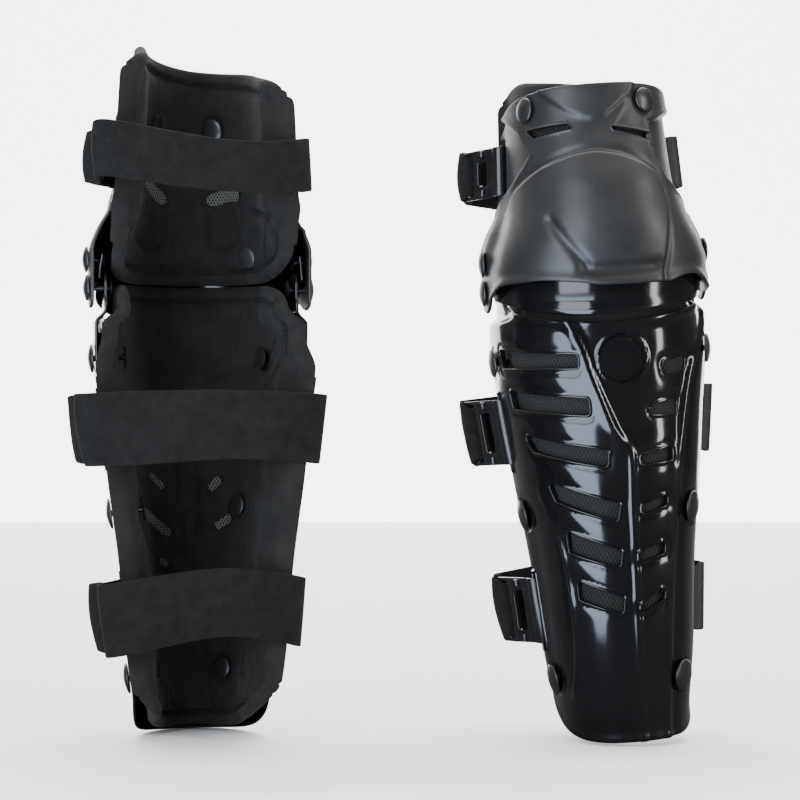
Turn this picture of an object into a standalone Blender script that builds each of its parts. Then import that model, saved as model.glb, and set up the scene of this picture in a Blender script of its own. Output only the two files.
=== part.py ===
"""A pair of hinged motorcycle knee and shin guards, standing upright side by side.

The right guard shows its front and the left guard its back. Each one has a shin shell, a knee
shell that turns on two pivot rivets, a band between them, soft pads and three elastic straps
with hook buckles. Units are metres, +Z runs up the leg. Every piece is drawn in the frame of
the right guard (X across the leg, -Y to the front, buckles at -X) and mirrored for the left.
"""

import math

import bmesh
import bpy
from mathutils import Matrix, Vector

# Driving dimensions of one guard.
SHELL = 0.0025
FIT_GAP = 0.0004
SHIN_ROUNDNESS = 2.35
KNEE_ROUNDNESS, KNEE_PAD_ROUNDNESS = 2.45, 2.3
PIVOT_Y, PIVOT_Z = -0.015, 0.327
BAND_RADIUS, BAND_WIDTH, BAND_THICK = 0.0940, 0.0753, 0.0018
BAND_LOW, BAND_HIGH, BAND_ROUNDNESS = -14.0, 32.0, 2.12
GUIDE_RADIUS, GUIDE_REST, GUIDE_TRAVEL = 0.0215, 75.0, 30.0
EAR_RADIUS = 0.0130
PAD_THICK = 0.0090
# Where the rows of the shin shell and its pad lie, closer together where the ears step inwards.
SHIN_LEVELS = [0, 0.09, 0.22, 0.36, 0.50, 0.64, 0.78, 0.875, 0.915, 0.96, 1]
PAD_LEVELS = [0, 0.2, 0.4, 0.6, 0.8, 0.91, 0.96, 1]
PAD_TOP = {"right": 0.4640, "left": 0.4820}
MESH_INSET, MESH_THICK = 0.0042, 0.0008
PAD_FRONT_INSET, PAD_SIDE_INSET = 0.0066, 0.0088
STRAP_THICK = 0.0017
SLOT_BACK, SLOT_FRONT = -0.0055, -0.0145
BUCKLE_TILT = math.radians(30.0)
BADGE_RADIUS, BADGE_THICK, BADGE_Z = 0.0160, 0.0022, 0.2720

# Where each guard stands: mirror sign, position, turn about Z and lean about Y.
GUARDS = {
    "right": (1, (0.1639, 0.0173, 0.0030), math.radians(5.0), math.radians(-4.1)),
    "left": (-1, (-0.1426, -0.0167, 0.0), math.radians(193.5), 0.0),
}

SHIN_WIDTH = [(0.0, 0.0465), (0.02, 0.0485), (0.065, 0.0545), (0.128, 0.0596), (0.19, 0.0677),
              (0.235, 0.0725), (0.28, 0.0776), (0.32, 0.0776)]
SHIN_DEPTH = [(0.0, 0.0660), (0.06, 0.0740), (0.15, 0.0850), (0.23, 0.0965), (0.32, 0.1070)]
KNEE_WIDTH = [(0.300, 0.0805), (0.340, 0.0805), (0.350, 0.0780), (0.364, 0.0720), (0.380, 0.0662),
              (0.400, 0.0628), (0.440, 0.0612), (0.485, 0.0580)]
KNEE_EAR_WIDTH = [(0.300, 0.0805), (0.354, 0.0805), (0.368, 0.0760), (0.386, 0.0665), (0.405, 0.0628),
                  (0.440, 0.0612), (0.485, 0.0580)]
EAR_FACE, EAR_STEP = 0.0805, 0.0067
KNEE_DEPTH = [(0.305, 0.1150), (0.328, 0.1165), (0.360, 0.1195), (0.392, 0.1140), (0.418, 0.1030),
              (0.440, 0.0955), (0.480, 0.0890)]
KNEE_PAD_DEPTH = [(0.330, 0.0990), (0.360, 0.0925), (0.385, 0.0830), (0.430, 0.0800), (0.490, 0.0760)]
KNEE_PAD_WIDTH = [(0.330, 0.0655), (0.350, 0.0655), (0.364, 0.0620), (0.380, 0.0570), (0.400, 0.0540),
                  (0.440, 0.0525), (0.500, 0.0490)]

# Strap heights: middle of the strap at the slots, strap width, slot height and the body it hangs on.
STRAPS = {
    "upper": dict(z=0.4160, width=0.038, slot=0.043, knee=True, sag=-0.014),
    "middle": dict(z=0.2250, width=0.050, slot=0.058, knee=False, sag=0.004),
    "lower": dict(z=0.0930, width=0.050, slot=0.058, knee=False, sag=0.010),
}
# Rivets through the shells: height, angles on the buckle side and the other side, head radius.
SHIN_RIVETS = {"top": (0.2760, 79.0, 55.0, 0.0105), "middle": (0.1640, 75.0, 40.0, 0.0112),
               "bottom": (0.0440, 67.0, 33.0, 0.0112)}
THIGH_RIVET = (0.4520, 37.0, 21.0, 0.0090)
# Vents of the shin shell, from the top: for each side the angle and height of the end near the
# middle, the same for the far end, and half the vent's own height.
OUTER_VENTS = [(16, 0.271, 64, 0.278, 0.0045), (13, 0.240, 59, 0.248, 0.0066),
               (7, 0.202, 50, 0.217, 0.0058), (4, 0.164, 38, 0.182, 0.0062),
               (4, 0.130, 30, 0.145, 0.0060), (4, 0.098, 26, 0.111, 0.0060)]
INNER_VENTS = [(20, 0.263, 35, 0.266, 0.0045), (13, 0.235, 27, 0.236, 0.0053),
               (8, 0.200, 23, 0.204, 0.0042), (8, 0.165, 21, 0.171, 0.0042),
               (6, 0.131, 20, 0.137, 0.0046), (6, 0.096, 19, 0.104, 0.0050)]

DARK_PLASTIC = ((0.045, 0.045, 0.048, 1), 0.38, 0.0)
GLOSS_PLASTIC = ((0.012, 0.012, 0.014, 1), 0.12, 0.0)
FABRIC = ((0.010, 0.010, 0.011, 1), 0.90, 0.0)
MESH_FABRIC = ((0.10, 0.10, 0.095, 1), 0.80, 0.0)


def smooth(points, at):
    """The value at one place on a smooth curve through (place, value) points."""
    if at <= points[0][0]:
        return points[0][1]
    if at >= points[-1][0]:
        return points[-1][1]
    i = max(k for k in range(len(points) - 1) if points[k][0] <= at)

    def rise(k):
        k = min(max(k, 0), len(points) - 2)
        return (points[k + 1][1] - points[k][1]) / (points[k + 1][0] - points[k][0])

    def slope(k):
        before, after = rise(k - 1), rise(k)
        return 2 * before * after / (before + after) if before * after > 0 else 0.0

    span = points[i + 1][0] - points[i][0]
    t = (at - points[i][0]) / span
    start, end = points[i][1], points[i + 1][1]
    return (start * (1 + 2 * t) * (1 - t) ** 2 + end * t * t * (3 - 2 * t)
            + span * slope(i) * t * (1 - t) ** 2 - span * slope(i + 1) * t * t * (1 - t))


def ease(start, end, at):
    """Rises smoothly from 0 at start to 1 at end."""
    t = min(max((at - start) / (end - start), 0.0), 1.0)
    return t * t * (3 - 2 * t)


def section(width, depth, roundness, angle):
    """A point of a rounded U outline, angle 0 at the front and +-90 degrees at the rear edges."""
    a = math.radians(angle)
    s, c = abs(math.sin(a)) / width, abs(math.cos(a)) / depth
    r = (s ** roundness + c ** roundness) ** (-1 / roundness)
    return r * math.sin(a), -r * math.cos(a)


def shin_point(angle, z, inset=0.0):
    ear_step = EAR_STEP * ease(0.302, 0.311, z) * ease(42, 54, abs(angle))
    x, y = section(smooth(SHIN_WIDTH, z) - inset - ear_step, smooth(SHIN_DEPTH, z) - inset,
                   SHIN_ROUNDNESS, angle)
    return Vector((x, y, z))


def knee_point(angle, z, inset=0.0):
    ear = ease(58, 76, abs(angle))
    width = smooth(KNEE_WIDTH, z) * (1 - ear) + smooth(KNEE_EAR_WIDTH, z) * ear
    x, y = section(width - inset, smooth(KNEE_DEPTH, z) - inset, KNEE_ROUNDNESS, angle)
    return Vector((x, y, z))


def flared(x, y, angle):
    """Turns the rear edge of a pad outwards behind the edge of its shell."""
    y += 0.0090 * ease(60, 90, abs(angle))
    return x + math.copysign(0.0065 * ease(0.0028, 0.0085, y), x), y


def knee_pad_point(angle, z, inset=0.0):
    x, y = section(smooth(KNEE_PAD_WIDTH, z) - inset, smooth(KNEE_PAD_DEPTH, z) - inset,
                   KNEE_PAD_ROUNDNESS, angle)
    return Vector((*flared(x, y, angle), z))


def shin_pad_point(angle, z, inset=0.0):
    ear_step = EAR_STEP * ease(0.298, 0.310, z) * ease(42, 56, abs(angle))
    x, y = section(smooth(SHIN_WIDTH, z) - PAD_SIDE_INSET - inset - ear_step,
                   smooth(SHIN_DEPTH, z) - PAD_FRONT_INSET - inset, SHIN_ROUNDNESS, angle)
    return Vector((*flared(x, y, angle), z))


def knee_pad_top(side, angle):
    """The top edge of a knee pad, highest towards the buckle side."""
    outer = max(0.0, -angle / 90)
    return PAD_TOP[side] - 0.012 * angle / 90 + 0.006 * outer - 0.010 * (abs(angle) / 90) ** 5


def outward(point, angle, z):
    """The outward direction of a shell surface at one place."""
    across = point(angle + 1, z) - point(angle - 1, z)
    along = point(angle, z + 0.002) - point(angle, z - 0.002)
    normal = across.cross(along).normalized()
    return -normal if normal.dot(point(angle, z) - Vector((0, 0, z))) < 0 else normal


def lobe(y, radius=EAR_RADIUS):
    """Half height of the round ear about the pivot line, at depth y."""
    return math.sqrt(max(radius ** 2 - (y - PIVOT_Y) ** 2, 0.0))


def shin_top(angle):
    u = abs(angle) / 90
    edge = 0.2975 + 0.020 * min(u / 0.75, 1.0) ** 1.5
    y = shin_point(angle, 0.325).y
    return max(edge, PIVOT_Z + lobe(y)) if lobe(y) > 0.004 else edge


def shin_bottom(angle):
    return 0.030 * (abs(angle) / 90) ** 3


def knee_bottom(angle):
    y = knee_point(angle, 0.33).y
    edge = 0.3240 + 0.006 * abs(angle) / 90
    return PIVOT_Z - lobe(y, 0.0145) if lobe(y, 0.0145) > 0.004 else edge


def knee_top(angle):
    return 0.4650 - 0.020 * (abs(angle) / 90) ** 4 - 0.008 * (abs(angle) / 90) ** 2


def wrap_angles(reach, count):
    """Angles from -reach to +reach, closer together towards both ends."""
    steps = [2 * i / count - 1 for i in range(count + 1)]
    return [reach * (1.3 * s - 0.3 * s ** 3) for s in steps]


def even(rows):
    return [row / rows for row in range(rows + 1)]


def sheet(outer, inner, columns, low, high, levels):
    """A closed curved sheet: outer and inner give points for (angle, z).

    low and high are its edges' heights at an angle, and levels the shares of the way up of its rows.
    """
    bm = bmesh.new()
    rows = len(levels) - 1
    layers = []
    for surface in (outer, inner):
        grid = []
        for angle in columns:
            z0, z1 = low(angle), high(angle)
            grid.append([bm.verts.new(surface(angle, z0 + (z1 - z0) * share)) for share in levels])
        layers.append(grid)
    last = len(columns) - 1
    for i in range(last):
        for j in range(rows):
            for grid, order in zip(layers, (1, -1)):
                corners = [grid[i][j], grid[i + 1][j], grid[i + 1][j + 1], grid[i][j + 1]]
                bm.faces.new(corners[::order])
    rim = [(i, 0) for i in range(last)] + [(last, j) for j in range(rows)]
    rim += [(i, rows) for i in range(last, 0, -1)] + [(0, j) for j in range(rows, 0, -1)]
    for (i, j), (k, m) in zip(rim, rim[1:] + rim[:1]):
        bm.faces.new([layers[0][k][m], layers[0][i][j], layers[1][i][j], layers[1][k][m]])
    bmesh.ops.recalc_face_normals(bm, faces=bm.faces)
    return bm


def turned(profile, origin, axis, sides=16):
    """A solid turned about axis: profile is (distance along the axis, radius) from end to end."""
    turn = axis.to_track_quat("Z", "Y").to_matrix()
    bm = bmesh.new()
    rings = []
    for along, radius in profile:
        if radius == 0:
            rings.append([bm.verts.new(origin + turn @ Vector((0, 0, along)))])
            continue
        ring = [(math.cos(2 * math.pi * k / sides), math.sin(2 * math.pi * k / sides)) for k in range(sides)]
        rings.append([bm.verts.new(origin + turn @ Vector((radius * c, radius * s, along))) for c, s in ring])
    for low, high in zip(rings, rings[1:]):
        for k in range(sides):
            n = (k + 1) % sides
            corners = [low[k % len(low)], low[n % len(low)], high[n % len(high)], high[k % len(high)]]
            bm.faces.new(list(dict.fromkeys(corners)))
    bmesh.ops.recalc_face_normals(bm, faces=bm.faces)
    return bm


def prism(outline, low, high):
    """An upright prism: outline is a list of (x, y), low and high are heights at each point."""
    bm = bmesh.new()
    bottom = [bm.verts.new((x, y, low)) for x, y in outline]
    top = [bm.verts.new((x, y, high)) for x, y in outline]
    bm.faces.new(bottom)
    bm.faces.new(top)
    for k in range(len(outline)):
        n = (k + 1) % len(outline)
        bm.faces.new((bottom[k], bottom[n], top[n], top[k]))
    bmesh.ops.recalc_face_normals(bm, faces=bm.faces)
    return bm


def side_prism(outline):
    """A prism across the whole guard: outline is a list of (forward, up) from the pivot line."""
    bm = prism([(f, u) for f, u in outline], -0.2, 0.2)
    turn = Matrix(((0, 0, 1, 0), (-1, 0, 0, PIVOT_Y), (0, 1, 0, PIVOT_Z), (0, 0, 0, 1)))
    bmesh.ops.transform(bm, matrix=turn, verts=bm.verts)
    bmesh.ops.recalc_face_normals(bm, faces=bm.faces)
    return bm


def ribbon(path, thick):
    """A strip that follows path, a list of (x, y, z, half height, sideways lean per metre up)."""
    bm = bmesh.new()
    places = [Vector(p[:3]) for p in path]
    rings = []
    for k, (x, y, z, half, lean) in enumerate(path):
        ahead = places[min(k + 1, len(path) - 1)] - places[max(k - 1, 0)]
        side = Vector((ahead.y, -ahead.x, 0)).normalized() * thick / 2
        corners = [(side, -half), (side, half), (-side, half), (-side, -half)]
        rings.append([bm.verts.new(places[k] + across + Vector((lean * up, 0, up))) for across, up in corners])
    for one, two in zip(rings, rings[1:]):
        for k in range(4):
            n = (k + 1) % 4
            bm.faces.new((one[k], one[n], two[n], two[k]))
    bm.faces.new(rings[0])
    bm.faces.new(rings[-1])
    bmesh.ops.recalc_face_normals(bm, faces=bm.faces)
    return bm


def curve_through(points, steps):
    """Points of a smooth curve through the given ones, steps between each pair."""
    found = []
    for i in range(len(points) - 1):
        before, here = points[max(i - 1, 0)], points[i]
        there, after = points[i + 1], points[min(i + 2, len(points) - 1)]
        for s in range(steps):
            t = s / steps
            found.append(tuple(0.5 * (2 * b + (c - a) * t + (2 * a - 5 * b + 4 * c - d) * t * t
                                      + (3 * b - a - 3 * c + d) * t ** 3)
                               for a, b, c, d in zip(before, here, there, after)))
    return found + [tuple(points[-1])]


class Guard:
    """Builds the nodes of one guard, mirrored and placed where it stands."""

    def __init__(self, side):
        self.side = side
        self.mirror, place, turn, lean = GUARDS[side]
        self.frame = (Matrix.Translation(place) @ Matrix.Rotation(lean, 4, "Y")
                      @ Matrix.Rotation(turn, 4, "Z"))
        self.stand = self.empty("stand", Vector((0, 0, 0)), None)
        self.stand.matrix_world = self.frame
        self.knee_pivot = self.empty("knee_pivot", Vector((0, PIVOT_Y, PIVOT_Z)), self.stand)

    def empty(self, name, place, parent):
        found = bpy.data.objects.new(f"{self.side}_{name}_frame", None)
        bpy.context.collection.objects.link(found)
        found.parent = parent
        found.location = place
        found["place"] = place
        return found

    def add(self, name, bm, look, parent=None, cuts=()):
        """Makes one node from a mesh drawn in the right guard's frame."""
        parent = parent or self.stand
        place = Vector(parent["place"])
        obj = self.mesh_object(f"{self.side}_{name}", bm, place)
        obj.parent = parent
        obj.data.materials.append(material(f"{self.side}_{name}", look))
        for k, cut in enumerate(cuts):
            cutter = self.mesh_object(f"{self.side}_{name}_cut_{k}", cut[1], place)
            cutter.parent = parent
            cutter.hide_render = True
            cutter.display_type = "WIRE"
            step = obj.modifiers.new(f"cut_{k}", "BOOLEAN")
            step.operation = cut[0]
            step.object = cutter
        return obj

    def mesh_object(self, name, bm, place):
        bm.transform(Matrix.Diagonal((self.mirror, 1, 1, 1)) @ Matrix.Translation(-place))
        if self.mirror < 0:
            bmesh.ops.reverse_faces(bm, faces=bm.faces)
        mesh = bpy.data.meshes.new(name)
        bm.to_mesh(mesh)
        bm.free()
        mesh.shade_smooth()
        mesh.set_sharp_from_angle(angle=math.radians(35))
        obj = bpy.data.objects.new(name, mesh)
        bpy.context.collection.objects.link(obj)
        return obj


def material(name, look):
    found = bpy.data.materials.new(name)
    found.use_nodes = True
    shader = found.node_tree.nodes["Principled BSDF"]
    shader.inputs["Base Color"].default_value = look[0]
    shader.inputs["Roughness"].default_value = look[1]
    shader.inputs["Metallic"].default_value = look[2]
    return found


def joined(parts):
    """One mesh holding the given meshes, which don't touch."""
    bm = bmesh.new()
    for part in parts:
        mesh = bpy.data.meshes.new("joined")
        part.to_mesh(mesh)
        part.free()
        bm.from_mesh(mesh)
        bpy.data.meshes.remove(mesh)
    return bm


def hole(origin, axis, radius, reach=0.012):
    return turned([(-reach, 0), (-reach, radius), (reach, radius), (reach, 0)], origin, axis, 8)


def front_cutter(outline, back):
    """A cutter from the front: outline is a list of (x, z)."""
    bm = prism([(x, z) for x, z in outline], back, 0.2)
    turn = Matrix(((1, 0, 0, 0), (0, 0, -1, 0), (0, 1, 0, 0), (0, 0, 0, 1)))
    bmesh.ops.transform(bm, matrix=turn, verts=bm.verts)
    bmesh.ops.recalc_face_normals(bm, faces=bm.faces)
    return bm


def vent(sign, spec):
    """The cutter of one vent, which slopes down towards the middle of the shell."""
    near, near_z, far, far_z, half = spec
    inner, outer = shin_point(sign * near, near_z), shin_point(sign * far, far_z)
    outline = [(inner.x, near_z - half), (outer.x, far_z - half), (outer.x, far_z + half),
               (inner.x, near_z + half)]
    return front_cutter(outline, 0.018)


def thigh_slot(sign):
    """The cutter of one air slot above the knee cup."""
    tips = {1: [(4, 0.432), (19, 0.423), (21, 0.428), (4, 0.435)],
            -1: [(11, 0.433), (33, 0.429), (36, 0.437), (15, 0.438)]}[sign]
    return front_cutter([(knee_point(sign * a, z).x, z) for a, z in tips], 0.030)


def slot_width(strap):
    return smooth(KNEE_WIDTH if strap["knee"] else SHIN_WIDTH, strap["z"])


def bar_slope(strap):
    """How much the shell widens per metre of height along the bar of a slot."""
    widths = KNEE_WIDTH if strap["knee"] else SHIN_WIDTH
    half = strap["slot"] / 2
    return (smooth(widths, strap["z"] + half) - smooth(widths, strap["z"] - half)) / (2 * half)


def strap_slots(strap):
    """Cutters of the two upright slots that one strap or buckle passes through."""
    width, half = slot_width(strap), strap["slot"] / 2
    x0, x1 = width - 0.012, width + 0.012
    outline = [(x0, SLOT_FRONT), (x1, SLOT_FRONT), (x1, SLOT_BACK), (x0, SLOT_BACK)]
    mirrored = [(-x, y) for x, y in outline]
    return joined([prism(o, strap["z"] - half, strap["z"] + half) for o in (outline, mirrored)])


def hook_line(strap):
    """The upright line that the buckle swings on: the middle of the rear bar of its slot."""
    return Vector((-(slot_width(strap) - SHELL / 2), SLOT_BACK / 2, strap["z"]))


def buckle(strap):
    """A hook buckle: a plate with two windows and a hook round the bar of the slot."""
    centre = hook_line(strap)
    half = strap["width"] / 2 - 0.001
    inner, outer, length = 0.0040, 0.0062, 0.040
    away = Vector((-math.sin(BUCKLE_TILT), math.cos(BUCKLE_TILT)))
    start = math.degrees(math.atan2(away.y, away.x))
    arc = [math.radians(start + 24 + 196 * k / 8) for k in range(9)]
    outline = [(inner * math.cos(a), inner * math.sin(a)) for a in arc]
    outline += [(outer * math.cos(a), outer * math.sin(a)) for a in reversed(arc)]
    left = Vector((-away.y, away.x))
    tip = away * length
    for across in (0.0048, 0.0018):
        corner = tip + left * across
        outline.append((corner.x, corner.y))
    body = prism([(centre.x + x, centre.y + y) for x, y in outline], centre.z - half, centre.z + half)
    windows = []
    for near, far, tall in ((0.0115, 0.0205, half - 0.009), (0.0265, 0.0355, half - 0.0025)):
        box = [(near, -0.012), (far, -0.012), (far, 0.012), (near, 0.012)]
        spots = [away * f + left * s for f, s in box]
        windows.append(prism([(centre.x + p.x, centre.y + p.y) for p in spots],
                             centre.z - tall, centre.z + tall))
    windows = joined(windows)
    for solid in (body, windows):
        for vert in solid.verts:
            vert.co.x -= bar_slope(strap) * (vert.co.z - centre.z)
    return body, windows


def strap_path(strap):
    """The strap's run: round the inner bar, across behind the leg and round the buckle's end bar."""
    width, z, sag = slot_width(strap), strap["z"], strap["sag"]
    half = strap["width"] / 2
    near = SHELL + STRAP_THICK / 2 + 2 * FIT_GAP
    away = STRAP_THICK / 2 + 2 * FIT_GAP
    turn = [(width - near, 0.0010), (width - near, SLOT_BACK - 0.0010),
            (width - SHELL / 2, SLOT_BACK - 0.0028), (width + away, SLOT_BACK - 0.0010)]
    run = [(width + 0.0090, 0.0060), (width + 0.0120, 0.0180), (width * 0.72, 0.0330), (0.0, 0.0420)]
    centre = hook_line(strap)
    outwards = Vector((-math.sin(BUCKLE_TILT), math.cos(BUCKLE_TILT)))
    left = Vector((-outwards.y, outwards.x))
    bar = [(0.0560, -0.0140, 1.0), (0.0445, -0.0045, 1.0), (0.0428, 0.0020, 0.97), (0.0410, 0.0062, 0.94),
           (0.0370, 0.0068, 0.88), (0.0330, 0.0052, 0.78), (0.0320, 0.0010, 0.78), (0.0335, -0.0035, 0.78)]
    slope = bar_slope(strap)
    points = [(x, y, z, half * 0.92, slope) for x, y in turn] + [(x, y, z, half, slope) for x, y in run[:2]]
    points += [(run[2][0], run[2][1], z + sag * 0.6, half, slope / 2), (0.0, run[3][1], z + sag, half, 0.0)]
    for forward, side, share in bar:
        place = centre.xy + outwards * forward + left * side
        points.append((place.x, place.y, z, half * share, -slope))
    return curve_through(points, 2)


def rivet_line(point, angle, z, sign):
    place = point(sign * angle, z)
    return place, outward(point, sign * angle, z)


def depth_through(place, normal, inside):
    """How far a rivet at place reaches to stand clear of a pad, whose inner side inside tests."""
    depth = 0.004
    while not inside(place - normal * depth):
        depth += 0.0005
    return depth + 0.0040


def inside_shin_pad(p):
    w = smooth(SHIN_WIDTH, p.z) - PAD_SIDE_INSET - PAD_THICK
    d = smooth(SHIN_DEPTH, p.z) - PAD_FRONT_INSET - PAD_THICK
    return abs(p.x / w) ** SHIN_ROUNDNESS + abs(p.y / d) ** SHIN_ROUNDNESS < 1


def inside_knee_pad(p):
    w = smooth(KNEE_PAD_WIDTH, p.z) - PAD_THICK
    d = smooth(KNEE_PAD_DEPTH, p.z) - PAD_THICK
    return abs(p.x / w) ** KNEE_PAD_ROUNDNESS + abs(p.y / d) ** KNEE_PAD_ROUNDNESS < 1


def rivet(place, normal, head, depth, foot, dome=0.0038, shank=0.0022):
    """A domed rivet: head outside the shell, foot depth below the outer surface."""
    base = 0.0003
    profile = [(base + dome, 0)]
    profile += [(base + dome * math.cos(a), head * math.sin(a)) for a in (0.7, math.pi / 2)]
    profile += [(base, shank), (-depth - 0.0003, shank), (-depth - 0.0003, foot),
                (-depth - 0.0018, foot * 0.8), (-depth - 0.0018, 0)]
    return turned(profile, place, normal, 10)


def band_meshes():
    """The band: a dome turned about the pivot line, and the side outline that trims it."""
    outer, inner = [], []
    for a in wrap_angles(90, 12):
        x, y = section(BAND_WIDTH, BAND_RADIUS, BAND_ROUNDNESS, a)
        outer.append((x, -y if abs(a) < 90 else 0))
        x, y = section(BAND_WIDTH - BAND_THICK, BAND_RADIUS - BAND_THICK, BAND_ROUNDNESS, a)
        inner.append((x, -y if abs(a) < 90 else 0))
    line = Vector((0, PIVOT_Y, PIVOT_Z))
    skins = [turned(outer, line, Vector((1, 0, 0)), 24), turned(inner, line, Vector((1, 0, 0)), 24)]
    bmesh.ops.reverse_faces(skins[1], faces=skins[1].faces)
    low, high = math.radians(BAND_LOW), math.radians(BAND_HIGH)
    reach = 0.13
    outline = [(reach * math.cos(low), reach * math.sin(low)), (reach, 0.04),
               (reach * math.cos(high), reach * math.sin(high)), (0.036, 0.036)]
    for a in (60, 80, 100, 120):
        r = GUIDE_RADIUS + 0.0062
        outline.append((r * math.cos(math.radians(a)), r * math.sin(math.radians(a))))
    outline += [(-0.0105, 0.0130)]
    for a in (160, 190, 220, 250, 280, 310, 330):
        outline.append((EAR_RADIUS * math.cos(math.radians(a)), EAR_RADIUS * math.sin(math.radians(a))))
    return joined(skins), side_prism(outline)


def guide_slot():
    """The curved slot in the band's ears that the guide rivets slide along."""
    outline = []
    first, last = GUIDE_REST - 7, GUIDE_REST + GUIDE_TRAVEL + 7
    for radius, angles in ((GUIDE_RADIUS + 0.0027, range(7)), (GUIDE_RADIUS - 0.0027, range(6, -1, -1))):
        for k in angles:
            a = math.radians(first + (last - first) * k / 6)
            outline.append((radius * math.cos(a), radius * math.sin(a)))
    return side_prism(outline)


def build_shin(guard):
    angles = wrap_angles(90, 18)
    vents = joined([vent(-1, spec) for spec in OUTER_VENTS] + [vent(1, spec) for spec in INNER_VENTS])
    cuts = [("DIFFERENCE", vents)]
    cuts += [("DIFFERENCE", strap_slots(s)) for s in STRAPS.values() if not s["knee"]]
    holes = []
    pad_holes = []
    for z, outer_angle, inner_angle, head in SHIN_RIVETS.values():
        for sign, angle in ((-1, outer_angle), (1, inner_angle)):
            place, normal = rivet_line(shin_point, angle, z, sign)
            holes.append(hole(place, normal, 0.0026))
            pad_holes.append(hole(place, normal, 0.0026, 0.030))
    across = Vector((1, 0, 0))
    holes += [hole(Vector((s * 0.072, PIVOT_Y, PIVOT_Z)), across, 0.0026, 0.006) for s in (1, -1)]
    mesh_holes = [hole(*rivet_line(shin_point, SHIN_RIVETS[name][2], SHIN_RIVETS[name][0], 1), 0.0028)
                  for name in ("top", "middle")]
    cuts.append(("DIFFERENCE", joined(holes)))
    guard.add("shin_shell", sheet(shin_point, lambda a, z: shin_point(a, z, SHELL), angles,
                                  shin_bottom, shin_top, SHIN_LEVELS), GLOSS_PLASTIC, cuts=cuts)
    guard.add("shin_mesh", sheet(lambda a, z: shin_point(a, z, MESH_INSET),
                                 lambda a, z: shin_point(a, z, MESH_INSET + MESH_THICK),
                                 [55 * k / 4 for k in range(-4, 5)],
                                 lambda a: 0.070, lambda a: 0.288, even(5)), MESH_FABRIC,
              cuts=[("DIFFERENCE", joined(mesh_holes))])
    pad = sheet(shin_pad_point, lambda a, z: shin_pad_point(a, z, PAD_THICK), wrap_angles(90, 14),
                lambda a: 0.006 + 0.022 * (abs(a) / 90) ** 3,
                lambda a: 0.3300 - 0.014 * (abs(a) / 90) ** 5, PAD_LEVELS)
    guard.add("shin_pad", pad, FABRIC, cuts=[("DIFFERENCE", joined(pad_holes))])
    for name, (z, outer_angle, inner_angle, head) in SHIN_RIVETS.items():
        for sign, where, angle in ((-1, "outer", outer_angle), (1, "inner", inner_angle)):
            place, normal = rivet_line(shin_point, angle, z, sign)
            depth = depth_through(place, normal, inside_shin_pad)
            guard.add(f"shin_rivet_{name}_{where}", rivet(place, normal, head, depth, 0.0085), DARK_PLASTIC)
    place, normal = shin_point(0, BADGE_Z), outward(shin_point, 0, BADGE_Z)
    badge = [(FIT_GAP, 0), (FIT_GAP, BADGE_RADIUS), (BADGE_THICK, BADGE_RADIUS), (BADGE_THICK, 0)]
    guard.add("badge", turned(badge, place, normal, 24), GLOSS_PLASTIC)


def build_knee(guard):
    line = Vector((0, PIVOT_Y, PIVOT_Z))
    across = Vector((1, 0, 0))
    angles = wrap_angles(90, 18)
    rest = math.radians(GUIDE_REST)
    guide = line + Vector((0, -GUIDE_RADIUS * math.cos(rest), GUIDE_RADIUS * math.sin(rest)))
    ears = [hole(s * across * EAR_FACE + at, across, 0.0026, 0.006) for at in (line, guide) for s in (1, -1)]
    z, outer_angle, inner_angle, head = THIGH_RIVET
    stud_lines = [rivet_line(knee_point, outer_angle, z, -1), rivet_line(knee_point, inner_angle, z, 1)]
    studs = [hole(*at, 0.0026) for at in stud_lines]
    cuts = [("DIFFERENCE", thigh_slot(s)) for s in (1, -1)]
    cuts += [("DIFFERENCE", strap_slots(STRAPS["upper"])), ("DIFFERENCE", joined(ears + studs))]
    guard.add("knee_shell", sheet(knee_point, lambda a, z: knee_point(a, z, SHELL), angles,
                                  knee_bottom, knee_top, even(8)), DARK_PLASTIC, guard.knee_pivot, cuts)
    skins, outline = band_meshes()
    pivots = [hole(s * across * 0.075 + line, across, 0.0026, 0.006) for s in (1, -1)]
    guard.add("knee_band", skins, GLOSS_PLASTIC, guard.knee_pivot,
              [("INTERSECT", outline), ("DIFFERENCE", guide_slot()), ("DIFFERENCE", joined(pivots))])
    guard.add("knee_mesh", sheet(lambda a, z: knee_point(a, z, MESH_INSET),
                                 lambda a, z: knee_point(a, z, MESH_INSET + MESH_THICK),
                                 [40 * k / 4 for k in range(-4, 5)],
                                 lambda a: 0.415, lambda a: 0.445, even(2)), MESH_FABRIC, guard.knee_pivot)
    pad_studs = [hole(*at, 0.0026, 0.032) for at in stud_lines]
    guard.add("knee_pad", sheet(knee_pad_point, lambda a, z: knee_pad_point(a, z, PAD_THICK),
                                wrap_angles(90, 14), lambda a: 0.3345 + 0.020 * (abs(a) / 90) ** 4,
                                lambda a: knee_pad_top(guard.side, a), even(6)),
              FABRIC, guard.knee_pivot, [("DIFFERENCE", joined(pad_studs))])
    for sign, where in ((-1, "outer"), (1, "inner")):
        place, normal = stud_lines[(sign + 1) // 2]
        depth = depth_through(place, normal, inside_knee_pad)
        guard.add(f"thigh_rivet_{where}", rivet(place, normal, head, depth, 0.0085), DARK_PLASTIC,
                  guard.knee_pivot)
        side = sign * across * EAR_FACE
        guard.add(f"guide_rivet_{where}", rivet(side + guide, sign * across, 0.0095, 0.0103, 0.0070,
                                                shank=0.0021), DARK_PLASTIC, guard.knee_pivot)
        guard.add(f"pivot_rivet_{where}", rivet(side + line, sign * across, 0.0095, 0.0147, 0.0070,
                                                shank=0.0021), DARK_PLASTIC)


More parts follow.
